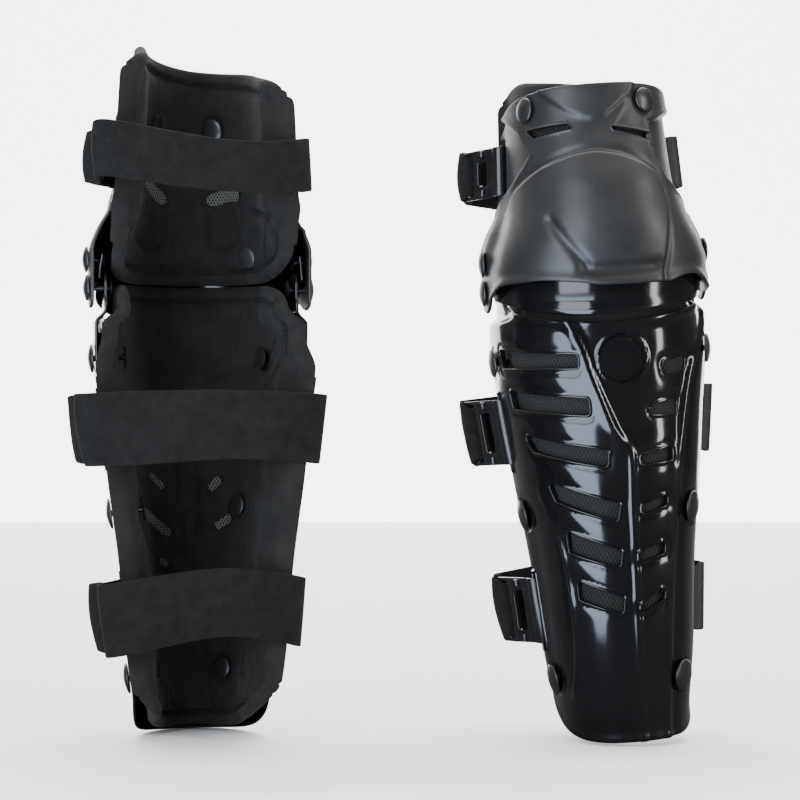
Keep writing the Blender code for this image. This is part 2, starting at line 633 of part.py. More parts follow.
def build_straps(guard):
    for name, strap in STRAPS.items():
        parent = guard.knee_pivot if strap["knee"] else guard.stand
        guard.add(f"{name}_strap", ribbon(strap_path(strap), STRAP_THICK), FABRIC, parent)
        body, windows = buckle(strap)
        pivot = guard.empty(f"{name}_buckle", (0, 0, 0), parent)
        line = hook_line(strap)
        pivot.location = Matrix.Diagonal((guard.mirror, 1, 1)) @ line - Vector(parent["place"])
        pivot["place"] = line
        guard.add(f"{name}_buckle", body, DARK_PLASTIC, pivot, [("DIFFERENCE", windows)])


for old in list(bpy.data.objects):
    bpy.data.objects.remove(old)
for which in GUARDS:
    one = Guard(which)
    build_shin(one)
    build_knee(one)
    build_straps(one)
bpy.context.view_layer.update()
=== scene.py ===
"""The looks of a pair of hinged motorcycle knee and shin guards.

Every piece is drawn in the frame of the right guard (X across the leg, -Y to the front, buckles
at -X, angle 0 at the front) and mirrored for the left one. Units are metres, +Z up the leg.
"""

import math

import bmesh
import bpy
import numpy as np
from mathutils import Matrix, Vector


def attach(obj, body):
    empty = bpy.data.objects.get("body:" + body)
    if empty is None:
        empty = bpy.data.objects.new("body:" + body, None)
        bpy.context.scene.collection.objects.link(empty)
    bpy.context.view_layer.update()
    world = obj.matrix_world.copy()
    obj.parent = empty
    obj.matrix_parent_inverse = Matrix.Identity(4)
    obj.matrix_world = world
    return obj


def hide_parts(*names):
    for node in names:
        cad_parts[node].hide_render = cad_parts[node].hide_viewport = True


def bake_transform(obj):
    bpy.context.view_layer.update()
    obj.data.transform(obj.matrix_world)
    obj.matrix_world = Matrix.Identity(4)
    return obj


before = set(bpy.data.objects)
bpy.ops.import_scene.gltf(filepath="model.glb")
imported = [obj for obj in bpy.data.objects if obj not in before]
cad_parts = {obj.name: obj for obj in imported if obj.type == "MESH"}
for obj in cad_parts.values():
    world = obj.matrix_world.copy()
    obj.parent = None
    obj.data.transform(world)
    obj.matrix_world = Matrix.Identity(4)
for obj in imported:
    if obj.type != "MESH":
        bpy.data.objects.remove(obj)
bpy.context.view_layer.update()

CELL = 0.0016
SHELL, STRAP_THICK = 0.0025, 0.0017
SHIN_ROUNDNESS, KNEE_ROUNDNESS, KNEE_PAD_ROUNDNESS = 2.35, 2.45, 2.3
PIVOT_Y, PIVOT_Z = -0.015, 0.327
BAND_RADIUS, BAND_WIDTH, BAND_THICK, BAND_ROUNDNESS = 0.0940, 0.0753, 0.0018, 2.12
BAND_LOW, BAND_HIGH = math.radians(-14.0), math.radians(32.0)
GUIDE_RADIUS, EAR_RADIUS, EAR_FACE, EAR_STEP = 0.0215, 0.0130, 0.0805, 0.0067
PAD_THICK, PAD_FRONT_INSET, PAD_SIDE_INSET = 0.0090, 0.0066, 0.0088
PAD_TOP = {"right": 0.4640, "left": 0.4820}
MESH_INSET = 0.0042
SLOT_BACK, SLOT_FRONT = -0.0055, -0.0145
BUCKLE_TILT = math.radians(30.0)
BADGE_Z = 0.2720

GUARDS = {
    "right": (1, (0.1639, 0.0173, 0.0030), math.radians(5.0), math.radians(-4.1)),
    "left": (-1, (-0.1426, -0.0167, 0.0), math.radians(193.5), 0.0),
}
STRAPS = {
    "upper": dict(z=0.4160, width=0.038, slot=0.043, knee=True, sag=-0.014),
    "middle": dict(z=0.2250, width=0.050, slot=0.058, knee=False, sag=0.004),
    "lower": dict(z=0.0930, width=0.050, slot=0.058, knee=False, sag=0.010),
}
SHIN_RIVETS = {"top": (0.2760, 79.0, 55.0, 0.0105), "middle": (0.1640, 75.0, 40.0, 0.0112),
               "bottom": (0.0440, 67.0, 33.0, 0.0112)}
THIGH_RIVET = (0.4520, 37.0, 21.0, 0.0090)

# Profiles: (height, half width or depth).
SHIN_WIDTH = [(0.0, 0.0465), (0.02, 0.0485), (0.065, 0.0545), (0.128, 0.0596), (0.19, 0.0677),
              (0.235, 0.0725), (0.28, 0.0776), (0.32, 0.0776)]
SHIN_DEPTH = [(0.0, 0.0660), (0.06, 0.0740), (0.15, 0.0850), (0.23, 0.0965), (0.32, 0.1070)]
KNEE_WIDTH = [(0.300, 0.0805), (0.340, 0.0805), (0.350, 0.0780), (0.364, 0.0720), (0.380, 0.0662),
              (0.400, 0.0628), (0.440, 0.0612), (0.485, 0.0580)]
KNEE_EAR_WIDTH = [(0.300, 0.0805), (0.354, 0.0805), (0.368, 0.0760), (0.386, 0.0665), (0.405, 0.0628),
                  (0.440, 0.0612), (0.485, 0.0580)]
KNEE_DEPTH = [(0.305, 0.1150), (0.328, 0.1165), (0.360, 0.1195), (0.392, 0.1140), (0.418, 0.1030),
              (0.440, 0.0955), (0.480, 0.0890)]
KNEE_PAD_DEPTH = [(0.330, 0.0990), (0.360, 0.0925), (0.385, 0.0830), (0.430, 0.0800), (0.490, 0.0760)]
KNEE_PAD_WIDTH = [(0.330, 0.0655), (0.350, 0.0655), (0.364, 0.0620), (0.380, 0.0570), (0.400, 0.0540),
                  (0.440, 0.0525), (0.500, 0.0490)]

# These outlines, down to SIDE_PLATES, are the output of scratch scripts that solved points read off
# the photo, and some of them were rounded.
# Vents of the shin shell: four (angle, height) corners each, buckle side then inner side.
VENTS = [
    [(-68, 0.2850), (-17, 0.2765), (-17, 0.2675), (-64, 0.2715)],
    [(-61, 0.2550), (-14, 0.2455), (-14, 0.2340), (-60, 0.2420)],
    [(-53, 0.2235), (-7.5, 0.2085), (-8, 0.1970), (-46, 0.2105)],
    [(-39, 0.1890), (-3.5, 0.1705), (-5, 0.1580), (-35, 0.1745)],
    [(-31, 0.1530), (-4, 0.1375), (-5, 0.1255), (-31, 0.1380)],
    [(-28, 0.1175), (-4, 0.1040), (-5, 0.0925), (-28, 0.1040)],
    [(18.5, 0.2675), (33.5, 0.2710), (32, 0.2610), (20, 0.2595)],
    [(12.5, 0.2375), (27.5, 0.2415), (27, 0.2300), (13.5, 0.2310)],
    [(7, 0.2030), (23.5, 0.2085), (23.5, 0.1985), (7.5, 0.1965)],
    [(7, 0.1685), (20.5, 0.1750), (20.5, 0.1675), (7, 0.1615)],
    [(4.5, 0.1350), (19, 0.1420), (19, 0.1335), (4.5, 0.1275)],
    [(4.5, 0.0975), (18.5, 0.1100), (18.5, 0.1010), (5, 0.0915)],
]
THIGH_SLOTS = [[(-37, 0.4370), (-31.5, 0.4305), (-12.5, 0.4340), (-15, 0.4380)],
               [(3.5, 0.4340), (4, 0.4308), (19.5, 0.4235), (20.5, 0.4285)]]
# Ridges of the shin: angle of the line at each height.
PANEL_LEFT = [(0.030, 0.0), (0.170, 0.4), (0.200, 0.8), (0.214, -0.8), (0.224, -3.9), (0.238, -7.1),
              (0.251, -9.8), (0.265, -12.4), (0.283, -15.5), (0.300, -19.0)]
PANEL_RIGHT = [(0.030, 20.5), (0.071, 21.1), (0.113, 22.9), (0.156, 25.6), (0.191, 27.6), (0.219, 29.2),
               (0.247, 32.5), (0.267, 37.0), (0.283, 49.0), (0.300, 62.0)]
SIDE_RIDGE = [(0.030, -43.0), (0.060, -35.5), (0.090, -33.2), (0.118, -33.8), (0.143, -36.5), (0.161, -41.0),
              (0.180, -47.0)]
KNEE_EDGE = [(-90, 0.3150), (-77, 0.3184), (-60, 0.3241), (-44, 0.3293), (-28, 0.3295), (-13, 0.3262),
             (-6, 0.3233), (7, 0.3226), (18.5, 0.3232), (24, 0.3265), (30, 0.3281), (38, 0.3258),
             (50, 0.3190), (90, 0.3150)]
# The knee cup's raised dome, the tongue at the top and the two sunk side plates.
DOME = [(-49, 0.3960), (-37, 0.4028), (-27.5, 0.4090), (-20, 0.4130), (-12, 0.4168), (-3.6, 0.4180),
        (5, 0.4147), (12.5, 0.4083), (18.5, 0.4005), (21.3, 0.3870), (20.5, 0.3690), (18.6, 0.3512),
        (16.5, 0.3330), (14, 0.3100), (-60, 0.3100), (-72, 0.3500), (-62, 0.3820)]
TONGUE = [(-34, 0.4720), (-30.5, 0.4645), (-23, 0.4562), (-15.4, 0.4466), (-9.2, 0.4412), (-4, 0.4392),
          (1, 0.4408), (5.6, 0.4468), (13.4, 0.4560), (20, 0.4720)]
SIDE_PLATES = [[(-100, 0.4560), (-62, 0.4478), (-44.8, 0.4377), (-39.2, 0.4280), (-34.6, 0.4198),
                (-39.2, 0.4130), (-50.4, 0.4037), (-70, 0.3963), (-100, 0.3850)],
               [(22.0, 0.4370), (21.0, 0.4200), (22.1, 0.4085), (25.5, 0.3975), (33.5, 0.3890), (50, 0.3820),
                (75, 0.3750), (100, 0.3700), (100, 0.4480), (45, 0.4460)]]


# ---------------------------------------------------------------- curves and surfaces

def smooth(points, at):
    """Values on a smooth, monotone curve through (place, value) points."""
    xs, ys = np.array(points, float).T
    rise = np.diff(ys) / np.diff(xs)
    slope = np.concatenate([rise[:1], np.zeros(len(xs) - 2), rise[-1:]])
    same = rise[:-1] * rise[1:] > 0
    total = np.where(same, rise[:-1] + rise[1:], 1.0)
    slope[1:-1] = np.where(same, 2 * rise[:-1] * rise[1:] / total, 0.0)
    at = np.clip(np.asarray(at, float), xs[0], xs[-1])
    i = np.clip(np.searchsorted(xs, at, "right") - 1, 0, len(xs) - 2)
    span = xs[i + 1] - xs[i]
    t = (at - xs[i]) / span
    return (ys[i] * (1 + 2 * t) * (1 - t) ** 2 + ys[i + 1] * t * t * (3 - 2 * t)
            + span * slope[i] * t * (1 - t) ** 2 - span * slope[i + 1] * t * t * (1 - t))


def ease(start, end, at):
    t = np.clip((at - start) / (end - start), 0, 1)
    return t * t * (3 - 2 * t)


def bell(x, width):
    return np.exp(-(x / width) ** 2)


def unit(v):
    return v / np.maximum(np.linalg.norm(v, axis=-1, keepdims=True), 1e-12)


def section(width, depth, roundness, angle):
    a = np.radians(angle)
    s, c = np.abs(np.sin(a)) / width, np.abs(np.cos(a)) / depth
    r = (s ** roundness + c ** roundness) ** (-1 / roundness)
    return r * np.sin(a), -r * np.cos(a)


def shin_point(a, z, inset=0.0):
    step = EAR_STEP * ease(0.302, 0.311, z) * ease(42, 54, np.abs(a))
    x, y = section(smooth(SHIN_WIDTH, z) - inset - step, smooth(SHIN_DEPTH, z) - inset, SHIN_ROUNDNESS, a)
    return np.stack([x, y, z], -1)


def knee_point(a, z, inset=0.0):
    ear = ease(58, 76, np.abs(a))
    width = smooth(KNEE_WIDTH, z) * (1 - ear) + smooth(KNEE_EAR_WIDTH, z) * ear
    x, y = section(width - inset, smooth(KNEE_DEPTH, z) - inset, KNEE_ROUNDNESS, a)
    return np.stack([x, y, z], -1)


def flared(x, y, a):
    y = y + 0.0090 * ease(60, 90, np.abs(a))
    return x + np.copysign(0.0065 * ease(0.0028, 0.0085, y), x), y


def knee_pad_point(a, z, inset=0.0):
    x, y = section(smooth(KNEE_PAD_WIDTH, z) - inset, smooth(KNEE_PAD_DEPTH, z) - inset,
                   KNEE_PAD_ROUNDNESS, a)
    return np.stack([*flared(x, y, a), z], -1)


def shin_pad_point(a, z, inset=0.0):
    step = EAR_STEP * ease(0.298, 0.310, z) * ease(42, 56, np.abs(a))
    x, y = section(smooth(SHIN_WIDTH, z) - PAD_SIDE_INSET - inset - step,
                   smooth(SHIN_DEPTH, z) - PAD_FRONT_INSET - inset, SHIN_ROUNDNESS, a)
    return np.stack([*flared(x, y, a), z], -1)


def band_point(a, w, inset=0.0):
    """The band, a dome turned about the pivot line: w is its arc length up from the front."""
    x, y = section(BAND_WIDTH - inset, BAND_RADIUS - inset, BAND_ROUNDNESS, a)
    t = w / BAND_RADIUS
    return np.stack([x, PIVOT_Y + y * np.cos(t), PIVOT_Z - y * np.sin(t)], -1)


def normals(surface, a, z):
    """Outward normals of a surface by small steps either way."""
    da, dz = 0.25, 0.0005
    return unit(np.cross(surface(a + da, z) - surface(a - da, z),
                         surface(a, z + dz) - surface(a, z - dz)))


class Chart:
    """Turns (angle, height) on a surface into metres along it, measured from the front."""

    def __init__(self, surface, low, high):
        self.low, self.step = low, (high - low) / 60
        self.angles = np.linspace(-96, 96, 193)
        a, z = np.meshgrid(self.angles, np.linspace(low, high, 61))
        points = surface(a.ravel(), z.ravel()).reshape(*a.shape, 3)
        run = np.cumsum(np.linalg.norm(np.diff(points, axis=1), axis=2), 1)
        run = np.concatenate([np.zeros((61, 1)), run], 1)
        self.lengths = run - run[:, 96:97]

    def __call__(self, a, z):
        a, z = np.broadcast_arrays(np.asarray(a, float), np.asarray(z, float))
        i = np.clip((z - self.low) / self.step, 0, 59.999)
        j = np.clip(a + 96, 0, 191.999)
        i0, j0 = i.astype(int), j.astype(int)
        fi, fj = i - i0, j - j0
        table = self.lengths
        low = table[i0, j0] * (1 - fj) + table[i0, j0 + 1] * fj
        high = table[i0 + 1, j0] * (1 - fj) + table[i0 + 1, j0 + 1] * fj
        return low * (1 - fi) + high * fi

    def corners(self, outline):
        return [(float(self(a, z)), z) for a, z in outline]


def polygon_distance(corners, s, z):
    """Signed distance to a closed outline, negative inside."""
    far = np.full(np.shape(s), 9.0)
    sign = np.ones(np.shape(s))
    for (x0, z0), (x1, z1) in zip(corners, corners[1:] + corners[:1]):
        ex, ez, wx, wz = x1 - x0, z1 - z0, s - x0, z - z0
        t = np.clip((wx * ex + wz * ez) / (ex * ex + ez * ez), 0, 1)
        far = np.minimum(far, (wx - ex * t) ** 2 + (wz - ez * t) ** 2)
        above, below, left = z >= z0, z < z1, ex * wz > ez * wx
        sign = np.where((above & below & left) | (~above & ~below & ~left), -sign, sign)
    return sign * np.sqrt(far)


def line_distance(points, s, z):
    """Distance to an open line of points."""
    far = np.full(np.shape(s), 9.0)
    for (x0, z0), (x1, z1) in zip(points, points[1:]):
        ex, ez, wx, wz = x1 - x0, z1 - z0, s - x0, z - z0
        t = np.clip((wx * ex + wz * ez) / (ex * ex + ez * ez), 0, 1)
        far = np.minimum(far, np.hypot(wx - ex * t, wz - ez * t))
    return far


def shrunk(corners, by):
    """A convex outline with every side moved inwards."""
    middle = np.mean(corners, axis=0)
    sides = []
    for p, q in zip(corners, corners[1:] + corners[:1]):
        across = np.array([q[1] - p[1], p[0] - q[0]])
        across /= np.linalg.norm(across)
        across *= np.sign(np.dot(middle - np.array(p), across))
        sides.append((across, np.dot(across, p) + by))
    found = []
    for (n0, d0), (n1, d1) in zip(sides[-1:] + sides[:-1], sides):
        found.append(tuple(np.linalg.solve(np.array([n0, n1]), np.array([d0, d1]))))
    return found


def both(d0, d1, r):
    """Inside both edges (distances are positive inside), with a corner of radius r."""
    return np.maximum(r, np.minimum(d0, d1)) - np.hypot(np.maximum(r - d0, 0), np.maximum(r - d1, 0))


def either(d0, d1, r):
    return -both(-d0, -d1, r)


# ---------------------------------------------------------------- fine sheets with clean edges

class Opening:
    """A hole in a sheet: how far it is away, the width of its rim and the rim's profile."""

    def __init__(self, away, margin, rim):
        self.away, self.margin, self.rim = away, margin, rim


def clipped(columns, rows, keep, across):
    """Faces of a fine grid over (angle, height) where keep is positive, with its edge on keep = 0."""
    a, z = (g.ravel() for g in np.meshgrid(columns, rows, indexing="ij"))
    d = keep(a, z)
    near = np.abs(d) < 0.56 * CELL
    an, zn = a[near], z[near]
    for _ in range(3):
        k = across(an, zn)
        dn, e = keep(an, zn), 0.0001
        ga = (keep(an + e / k, zn) - keep(an - e / k, zn)) / (2 * e)
        gz = (keep(an, zn + e) - keep(an, zn - e)) / (2 * e)
        size = np.maximum(ga * ga + gz * gz, 0.2)
        an, zn = an - dn * ga / size / k, zn - dn * gz / size
    a[near], z[near] = an, zn
    state = np.where(near, 0, np.sign(d))
    n = len(rows)
    i, j = np.meshgrid(np.arange(len(columns) - 1), np.arange(n - 1), indexing="ij")
    first = (i * n + j).ravel()
    quads = np.stack([first, first + n, first + n + 1, first + 1], 1)
    s = state[quads]
    negative, positive = (s < 0).sum(1), (s > 0).sum(1)
    middle = keep(a[quads].mean(1), z[quads].mean(1)) > 0
    whole = (negative == 0) & ((positive > 0) | middle)
    faces = quads[whole].tolist()
    for quad, row in zip(quads[(negative == 1) & (positive > 0)], s[(negative == 1) & (positive > 0)]):
        faces.append([int(v) for v, mark in zip(quad, row) if mark >= 0])
    corners = sum(faces[whole.sum():], [])
    used = np.unique(np.concatenate([quads[whole].ravel(), np.array(corners, int)]))
    index = np.full(len(a), -1)
    index[used] = np.arange(len(used))
    return a[used], z[used], [[int(index[v]) for v in f] for f in faces]


def edge_loops(faces):
    """The open edges of a sheet as closed runs of vertices, with the sheet on their left."""
    half = set()
    for f in faces:
        half.update(zip(f, f[1:] + f[:1]))
    ahead = {p: q for p, q in half if (q, p) not in half}
    loops = []
    while ahead:
        start, here = ahead.popitem()
        loop = [start]
        while here != start and here in ahead:
            loop.append(here)
            here = ahead.pop(here)
        if here == start and len(loop) > 5:
            loops.append(loop)
    return loops


def sheet_mesh(surface, inner, columns, rows, outline, openings, edge_rim, chart):
    """A closed sheet: its outer and inner skins joined by shaped rims round every edge."""

    def keep(a, z):
        found = outline(a, z)
        for opening in openings:
            found = np.minimum(found, opening.away(a, z) - opening.margin)
        return found

    def across(a, z):
        return np.maximum((chart(a + 1, z) - chart(a - 1, z)) / 2, 2e-4)

    a, z, faces = clipped(columns, rows, keep, across)
    points, under = surface(a, z), inner(a, z)
    count = len(points)
    verts = [points, under]
    total = 2 * count
    made = list(faces) + [[v + count for v in reversed(f)] for f in faces]
    for loop in edge_loops(faces):
        loop = np.array(loop)
        p, q = points[loop], under[loop]
        normal = normals(surface, a[loop], z[loop])
        along = unit(np.roll(p, -1, 0) - np.roll(p, 1, 0))
        out = unit(np.cross(along, normal))
        for _ in range(2):
            out = unit(np.roll(out, 1, 0) + 2 * out + np.roll(out, -1, 0))
        gaps = [abs(float(np.mean(o.away(a[loop], z[loop]) - o.margin))) for o in openings]
        rim = openings[int(np.argmin(gaps))].rim if gaps and min(gaps) < 0.0004 else edge_rim
        rings = rim(p, q, out, normal)
        index = [loop]
        for ring in rings:
            verts.append(ring)
            index.append(np.arange(total, total + len(loop)))
            total += len(loop)
        index.append(loop + count)
        for one, two in zip(index, index[1:]):
            far, away = np.roll(one, -1), np.roll(two, -1)
            made += np.stack([far, one, two, away], 1).tolist()
    return np.concatenate(verts), made


def bead_rim(reach, height, wall):
    """A raised bead round an opening, then a wall down into it."""
    shape = [(0.22, 0.30), (0.42, 0.78), (0.62, 1.0), (0.80, 0.86), (0.93, 0.40), (1.0, -0.3)]

    def rim(p, q, out, normal):
        rings = [p + out * (reach * f) + normal * (height * h) for f, h in shape]
        rings.append(p + out * reach - normal * wall)
        rings.append(q + out * reach * 0.6)
        return rings

    return rim


def round_rim(bulge, steps=5):
    """A half-round edge from the outer skin to the inner one."""

    def rim(p, q, out, normal):
        centre, half = (p + q) / 2, (p - q) / 2
        size = np.linalg.norm(half, axis=1, keepdims=True)
        turns = [math.pi * (k + 1) / (steps + 1) for k in range(steps)]
        return [centre + half * math.cos(t) + out * size * bulge * math.sin(t) for t in turns]

    return rim


def grid_rows(low, high, cell=CELL):
    return np.linspace(low, high, int((high - low) / cell) + 1)


def wrap_columns(reach, width, cell=CELL):
    """Angles whose spacing along a shell of this size is about one cell."""
    fine = np.linspace(-reach, reach, 721)
    x, y = section(width, width * 1.3, 2.4, fine)
    run = np.concatenate([[0], np.cumsum(np.hypot(np.diff(x), np.diff(y)))])
    return np.interp(np.linspace(0, run[-1], int(run[-1] / cell) + 1), run, fine)


# ---------------------------------------------------------------- one guard's frame

class Guard:
    def __init__(self, side):
        self.side = side
        self.mirror, place, turn, lean = GUARDS[side]
        self.matrix = (Matrix.Translation(place) @ Matrix.Rotation(lean, 4, "Y")
                       @ Matrix.Rotation(turn, 4, "Z") @ Matrix.Diagonal((self.mirror, 1, 1, 1)))

    def world(self, points):
        m = np.array(self.matrix)
        return np.asarray(points, float) @ m[:3, :3].T + m[:3, 3]

    def body(self, name):
        return f"{self.side}_{name}"

    def piece(self, name, verts, faces, look, body, slot, nodes=(), uv=None, crease=50):
        """Makes one piece from points in the guard's frame and lets it ride on a body."""
        mesh = bpy.data.meshes.new(f"{self.side}_{name}")
        turned_faces = [f[::-1] for f in faces] if self.mirror < 0 else faces
        mesh.from_pydata(self.world(verts).tolist(), [], turned_faces)
        mesh.validate()
        if uv is not None:
            layer = mesh.uv_layers.new(name="flat")
            corner = np.zeros(len(mesh.loops), int)
            mesh.loops.foreach_get("vertex_index", corner)
            layer.data.foreach_set("uv", np.asarray(uv, float)[corner].ravel())
        mesh.shade_smooth()
        mesh.set_sharp_from_angle(angle=math.radians(crease))
        obj = bpy.data.objects.new(f"{self.side}_{name}_look", mesh)
        bpy.context.collection.objects.link(obj)
        mesh.materials.append(look)
        if body:
            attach(obj, self.body(body))
        if nodes:
            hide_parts(*[f"{self.side}_{n}" for n in nodes])
        return obj


def turned(profile, place, axis, sides=40):
    """Points and faces of a shape turned about axis: profile is (distance along it, radius)."""
    turn = np.array(Vector(axis).to_track_quat("Z", "Y").to_matrix())
    t = np.linspace(0, 2 * math.pi, sides, endpoint=False)
    rings = [np.stack([r * np.cos(t), r * np.sin(t), np.full(sides, h)], 1) for h, r in profile]
    verts = np.concatenate(rings) @ turn.T + np.asarray(place)
    faces = []
    for k in range(len(profile) - 1):
        for n in range(sides):
            m = (n + 1) % sides
            faces.append([k * sides + n, k * sides + m, (k + 1) * sides + m, (k + 1) * sides + n])
    last = (len(profile) - 1) * sides
    return verts, faces + [list(range(sides))[::-1], list(range(last, last + sides))]


# ---------------------------------------------------------------- materials

class Look:
    """A procedural material: a Principled shader fed by noise, ribs or a mesh pattern."""

    def __init__(self, name, color, roughness, specular=0.5, sheen=0.0):
        self.material = bpy.data.materials.new(name)
        self.material.use_nodes = True
        self.tree = self.material.node_tree
        self.shader = self.tree.nodes["Principled BSDF"]
        self.set(self.shader, {"Base Color": (*color, 1), "Roughness": roughness,
                               "Specular IOR Level": specular, "Sheen Weight": sheen, "Coat Weight": 0.0})
        self.where = self.tree.nodes.new("ShaderNodeTexCoord")
        self.last_bump = None

    def set(self, node, values):
        for key, value in values.items():
            node.inputs[key].default_value = value

    def node(self, kind, values=(), **settings):
        found = self.tree.nodes.new(kind)
        for key, value in settings.items():
            setattr(found, key, value)
        self.set(found, dict(values))
        return found

    def link(self, start, end):
        self.tree.links.new(start, end)

    def noise(self, scale, detail=3.0, rough=0.55, stretch=(1, 1, 1)):
        moved = self.node("ShaderNodeMapping", {"Scale": stretch})
        self.link(self.where.outputs["Object"], moved.inputs["Vector"])
        found = self.node("ShaderNodeTexNoise", {"Scale": scale, "Detail": detail, "Roughness": rough})
        self.link(moved.outputs["Vector"], found.inputs["Vector"])
        return found.outputs["Fac"]

    def cells(self, scale, stretch=(1, 1, 1)):
        moved = self.node("ShaderNodeMapping", {"Scale": stretch})
        self.link(self.where.outputs["Object"], moved.inputs["Vector"])
        found = self.node("ShaderNodeTexVoronoi", {"Scale": scale})
        self.link(moved.outputs["Vector"], found.inputs["Vector"])
        return found.outputs["Distance"]

    def spread(self, value, low, high, start=0.3, end=0.7):
        found = self.node("ShaderNodeMapRange",
                          {"From Min": start, "From Max": end, "To Min": low, "To Max": high})
        self.link(value, found.inputs["Value"])
        return found.outputs["Result"]

    def sum(self, kind, one, two):
        found = self.node("ShaderNodeMath", operation=kind)
        for k, value in enumerate((one, two)):
            if isinstance(value, (int, float)):
                found.inputs[k].default_value = value
            elif value is not None:
                self.link(value, found.inputs[k])
        return found.outputs[0]

    def colour(self, value, dark, light, start=0.3, end=0.7):
        found = self.node("ShaderNodeMix", data_type="RGBA")
        found.inputs["A"].default_value = (*dark, 1)
        found.inputs["B"].default_value = (*light, 1)
        self.link(self.spread(value, 0, 1, start, end), found.inputs["Factor"])
        self.link(found.outputs["Result"], self.shader.inputs["Base Color"])

    def rough(self, value, low, high, start=0.3, end=0.7):
        self.link(self.spread(value, low, high, start, end), self.shader.inputs["Roughness"])

    def bump(self, value, distance, strength=1.0):
        found = self.node("ShaderNodeBump", {"Distance": distance, "Strength": strength})
        self.link(value, found.inputs["Height"])
        if self.last_bump:
            self.link(self.last_bump.outputs["Normal"], found.inputs["Normal"])
        self.last_bump = found
        self.link(found.outputs["Normal"], self.shader.inputs["Normal"])

    def flat(self):
        """The piece's own flat coordinates, in metres."""
        parts = self.node("ShaderNodeSeparateXYZ")
        self.link(self.where.outputs["UV"], parts.inputs["Vector"])
        return parts.outputs["X"], parts.outputs["Y"]

    def lattice(self, pitch, lean):
        """How near a thread of a diamond net is: 0 on a thread, 0.5 between."""
        u, v = self.flat()
        found = []
        for sign in (lean, -lean):
            slanted = self.sum("ADD", u, self.sum("MULTIPLY", v, sign))
            part = self.sum("FRACT", self.sum("DIVIDE", slanted, pitch), None)
            found.append(self.sum("ABSOLUTE", self.sum("SUBTRACT", part, 0.5), None))
        return self.sum("MINIMUM", *found)

    def ribs(self, pitch, along):
        u, v = self.flat()
        turn = self.sum("MULTIPLY", u if along else v, 2 * math.pi / pitch)
        return self.sum("SINE", turn, None)


def gloss_plastic():
    look = Look("gloss_black_plastic", (0.0040, 0.0042, 0.0048), 0.10, specular=0.5)
    look.colour(look.noise(14, 4), (0.0032, 0.0033, 0.0037), (0.0052, 0.0054, 0.0060))
    look.rough(look.noise(26, 6, 0.7), 0.085, 0.17)
    look.bump(look.noise(38, 2), 0.00022, 0.5)
    look.bump(look.noise(420, 3, 0.6, (1, 1, 0.35)), 0.00001, 0.5)
    return look.material


def satin_plastic(name, dark, light, rough, grain=0.00002):
    look = Look(name, dark, rough)
    look.colour(look.noise(11, 5), dark, light)
    look.rough(look.noise(70, 5, 0.7), rough - 0.05, rough + 0.07)
    look.bump(look.noise(1900, 2, 0.5), grain, 0.8)
    look.bump(look.noise(36, 2), 0.00012, 0.4)
    return look.material


def pad_fabric():
    look = Look("pad_fabric", (0.0125, 0.0125, 0.0125), 0.92, specular=0.12, sheen=0.04)
    look.set(look.shader, {"Sheen Roughness": 0.45})
    look.colour(look.noise(55, 6, 0.7), (0.0085, 0.0085, 0.0088), (0.0165, 0.0165, 0.0162))
    look.bump(look.cells(1000, (1, 1, 0.62)), 0.00022, 0.9)
    look.bump(look.noise(240, 4, 0.7), 0.00035, 0.6)
    return look.material


def strap_fabric():
    look = Look("elastic_webbing", (0.0070, 0.0070, 0.0070), 0.90, specular=0.12, sheen=0.04)
    look.set(look.shader, {"Sheen Roughness": 0.4})
    look.colour(look.noise(120, 5, 0.7), (0.0048, 0.0048, 0.0050), (0.0100, 0.0102, 0.0100))
    look.bump(look.ribs(0.0014, False), 0.00010, 0.7)
    look.bump(look.ribs(0.0009, True), 0.00007, 0.6)
    look.bump(look.noise(300, 4, 0.7), 0.00018, 0.5)
    return look.material


def net_fabric(name, pitch, thread, hole):
    look = Look(name, thread, 0.75, specular=0.3)
    net = look.lattice(pitch, 0.62)
    look.colour(net, thread, hole, 0.13, 0.21)
    look.bump(look.spread(net, 1, 0, 0.08, 0.24), 0.0004, 0.9)
    look.bump(look.noise(700, 3), 0.00008, 0.5)
    return look.material


LOOKS = {
    "gloss": gloss_plastic(),
    "satin": satin_plastic("satin_grey_plastic", (0.0098, 0.0100, 0.0104), (0.0126, 0.0128, 0.0132), 0.45),
    "rivet": satin_plastic("rivet_plastic", (0.0080, 0.0080, 0.0084), (0.0120, 0.0120, 0.0122), 0.34),
    "button": satin_plastic("button_plastic", (0.0100, 0.0100, 0.0105), (0.0180, 0.0180, 0.0180), 0.50),
    "buckle": satin_plastic("buckle_plastic", (0.0065, 0.0065, 0.0070), (0.0100, 0.0100, 0.0104), 0.22),
    "pad": pad_fabric(),
    "strap": strap_fabric(),
    "net": net_fabric("pad_net", 0.0026, (0.105, 0.105, 0.095), (0.003, 0.003, 0.003)),
    # The net behind the vents is made extra dark: partly the mesh's own black, partly painted shade inside
    # the vents, and its holes are painted black shade.
    "shaded_vent_net": net_fabric("shaded_vent_net", 0.0030, (0.014, 0.0135, 0.0115), (0.0015, 0.0015, 0.0015)),
}


# ---------------------------------------------------------------- shells

SHIN_CHART = Chart(shin_point, -0.01, 0.345)
KNEE_CHART = Chart(knee_point, 0.295, 0.475)
BAND_CHART = Chart(band_point, -0.06, 0.30)


def box_away(x, y, middle_x, half_x, middle_y, half_y, r):
    qx, qy = np.abs(x - middle_x) - half_x + r, np.abs(y - middle_y) - half_y + r
    return np.hypot(np.maximum(qx, 0), np.maximum(qy, 0)) + np.minimum(np.maximum(qx, qy), 0) - r


def outline_opening(chart, outline, corner, margin, rim):
    core = shrunk(chart.corners(outline), corner)
    return Opening(lambda a, z: polygon_distance(core, chart(a, z), z) - corner, margin, rim)


